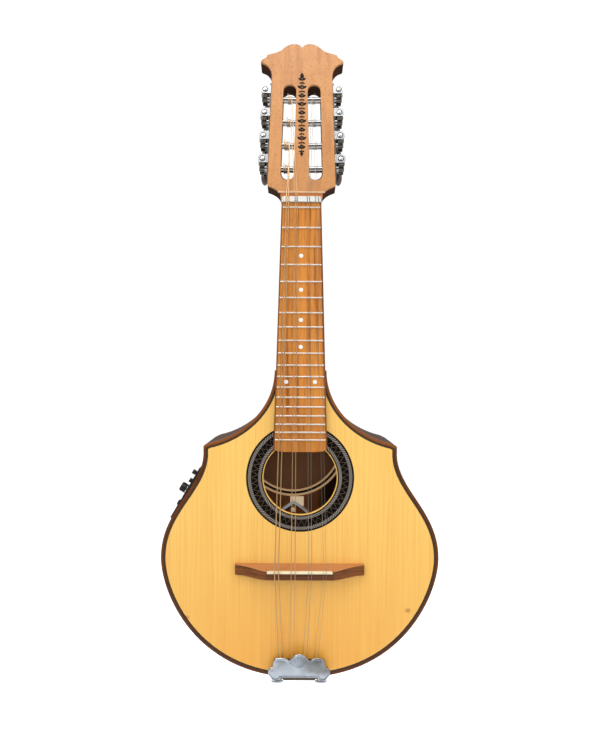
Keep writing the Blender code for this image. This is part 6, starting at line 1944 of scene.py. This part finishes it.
# %% Label
LABEL_CENTRE = (-0.0080, -0.2472)
LABEL_RADIUS = 0.0603
INNER_FACE_Y = 0.0755
LABEL_TOP = -0.2510
LABEL_RINGS = (("label_edge", 0.0, 0.0025, label_tan), ("label_band", 0.0025, 0.0026, label_black),
               ("label_inner", 0.0051, 0.0022, label_tan), ("label_line_far", 0.0090, 0.0008, label_line),
               ("label_line_near", 0.0120, 0.0008, label_line))
PAPER, PRINT_LOW, PRINT_HIGH = 0.00012, 0.00010, 0.00020


def label_arc(radius, y, steps=72):
    """The label's lower arc as points, from its trimmed edge on one side to the other."""
    dip = math.asin((LABEL_CENTRE[1] - LABEL_TOP) / radius)
    angles = [math.pi + dip + (math.pi - 2 * dip) * k / steps for k in range(steps + 1)]
    return [Vector((LABEL_CENTRE[0] + radius * math.cos(a), y, LABEL_CENTRE[1] + radius * math.sin(a)))
            for a in angles]


sheet = loft([label_arc(LABEL_RADIUS, y) for y in (INNER_FACE_Y - PAPER, INNER_FACE_Y)])
mount(object_of("label_sheet", sheet, label_paper))
near, far = INNER_FACE_Y - PRINT_HIGH, INNER_FACE_Y - PRINT_LOW
for ring_name, inside_edge, width, finish in LABEL_RINGS:
    outer = LABEL_RADIUS - inside_edge
    corners = [label_arc(outer, near), label_arc(outer, far), label_arc(outer - width, far),
               label_arc(outer - width, near)]
    strip = loft([[corner[k] for corner in corners] for k in range(len(corners[0]))])
    mount(object_of(ring_name, strip, finish))

# %% [markdown]
# Below the label sit a small bare sticker and a pair of grey leads in a white clip, with a black and a tan
# lead beside them.

# %% Sticker, leads and clip
TAG = ((-0.0108, -0.3186), (0.0043, -0.3079))
CLIP = ((-0.0100, 0.0715, -0.3245), (-0.0055, 0.0752, -0.3205))
LEAD_RADIUS, LEAD_SHIFT = 0.00095, 0.0017
BLACK_LEAD_SHIFT = (0.0012, -0.0019)
TAN_LEAD = ((-0.0010, 0.0700, -0.3168), (0.0040, 0.0712, -0.3196), (0.0100, 0.0730, -0.3250))
CABLE = ((-0.0190, 0.0740, -0.3230), (-0.0120, 0.0700, -0.3172), (-0.0072, 0.0672, -0.3134),
         (-0.0035, 0.0690, -0.3156), (0.0030, 0.0715, -0.3206), (0.0090, 0.0735, -0.3262))

(low_x, low_z), (high_x, high_z) = TAG
tag = brick((low_x, INNER_FACE_Y - 0.0004, low_z), (high_x, INNER_FACE_Y - 0.00002, high_z))
mount(soften(object_of("inner_tag", tag, sticker), 0.00015))
cable_points = []
for first, second in zip(CABLE, CABLE[1:]):
    cable_points += [tuple(a + (b - a) * j / 4 for a, b in zip(first, second)) for j in range(4)]
for lead_name, shift in (("inner_cable_0", 0.0), ("inner_cable_17", LEAD_SHIFT)):
    lead = [(x, y, z + shift) for x, y, z in cable_points + [CABLE[-1]]]
    mount(wire(lead_name, lead, LEAD_RADIUS, cable_grey, 10))
dark_lead = [(x, y + BLACK_LEAD_SHIFT[0], z + BLACK_LEAD_SHIFT[1]) for x, y, z in cable_points[:14]]
mount(wire("inner_cable_black", dark_lead, 0.0010, cable_black, 10))
mount(wire("inner_cable_tan", TAN_LEAD, 0.00055, cable_tan, 10))
mount(soften(object_of("cable_clip", brick(*CLIP), clip_white), 0.0008))

# %% [markdown]
# ## Floor
# A plain pale floor lies far below the hanging instrument and glows a little, like a lit table top, so it
# melts into the white ground.

# %% Floor
FLOOR_Z = -0.90
FLOOR_HALF_SIZE, FLOOR_THICKNESS = 3.0, 0.02

floor_finish = plain("floor", paint(250, 250, 250), paint(244, 244, 244), 0.8, Emission_Strength=0.75)
seen_directly = floor_finish.node("LightPath", output="Is Camera Ray")
floor_finish.shade(Emission_Color=floor_finish.mix(seen_directly, paint(40, 40, 40), paint(255, 255, 255)))
slab = brick((-FLOOR_HALF_SIZE, -FLOOR_HALF_SIZE, FLOOR_Z - FLOOR_THICKNESS),
             (FLOOR_HALF_SIZE, FLOOR_HALF_SIZE, FLOOR_Z))
object_of("floor", slab, floor_finish)
print("floor at %.2f m" % FLOOR_Z)
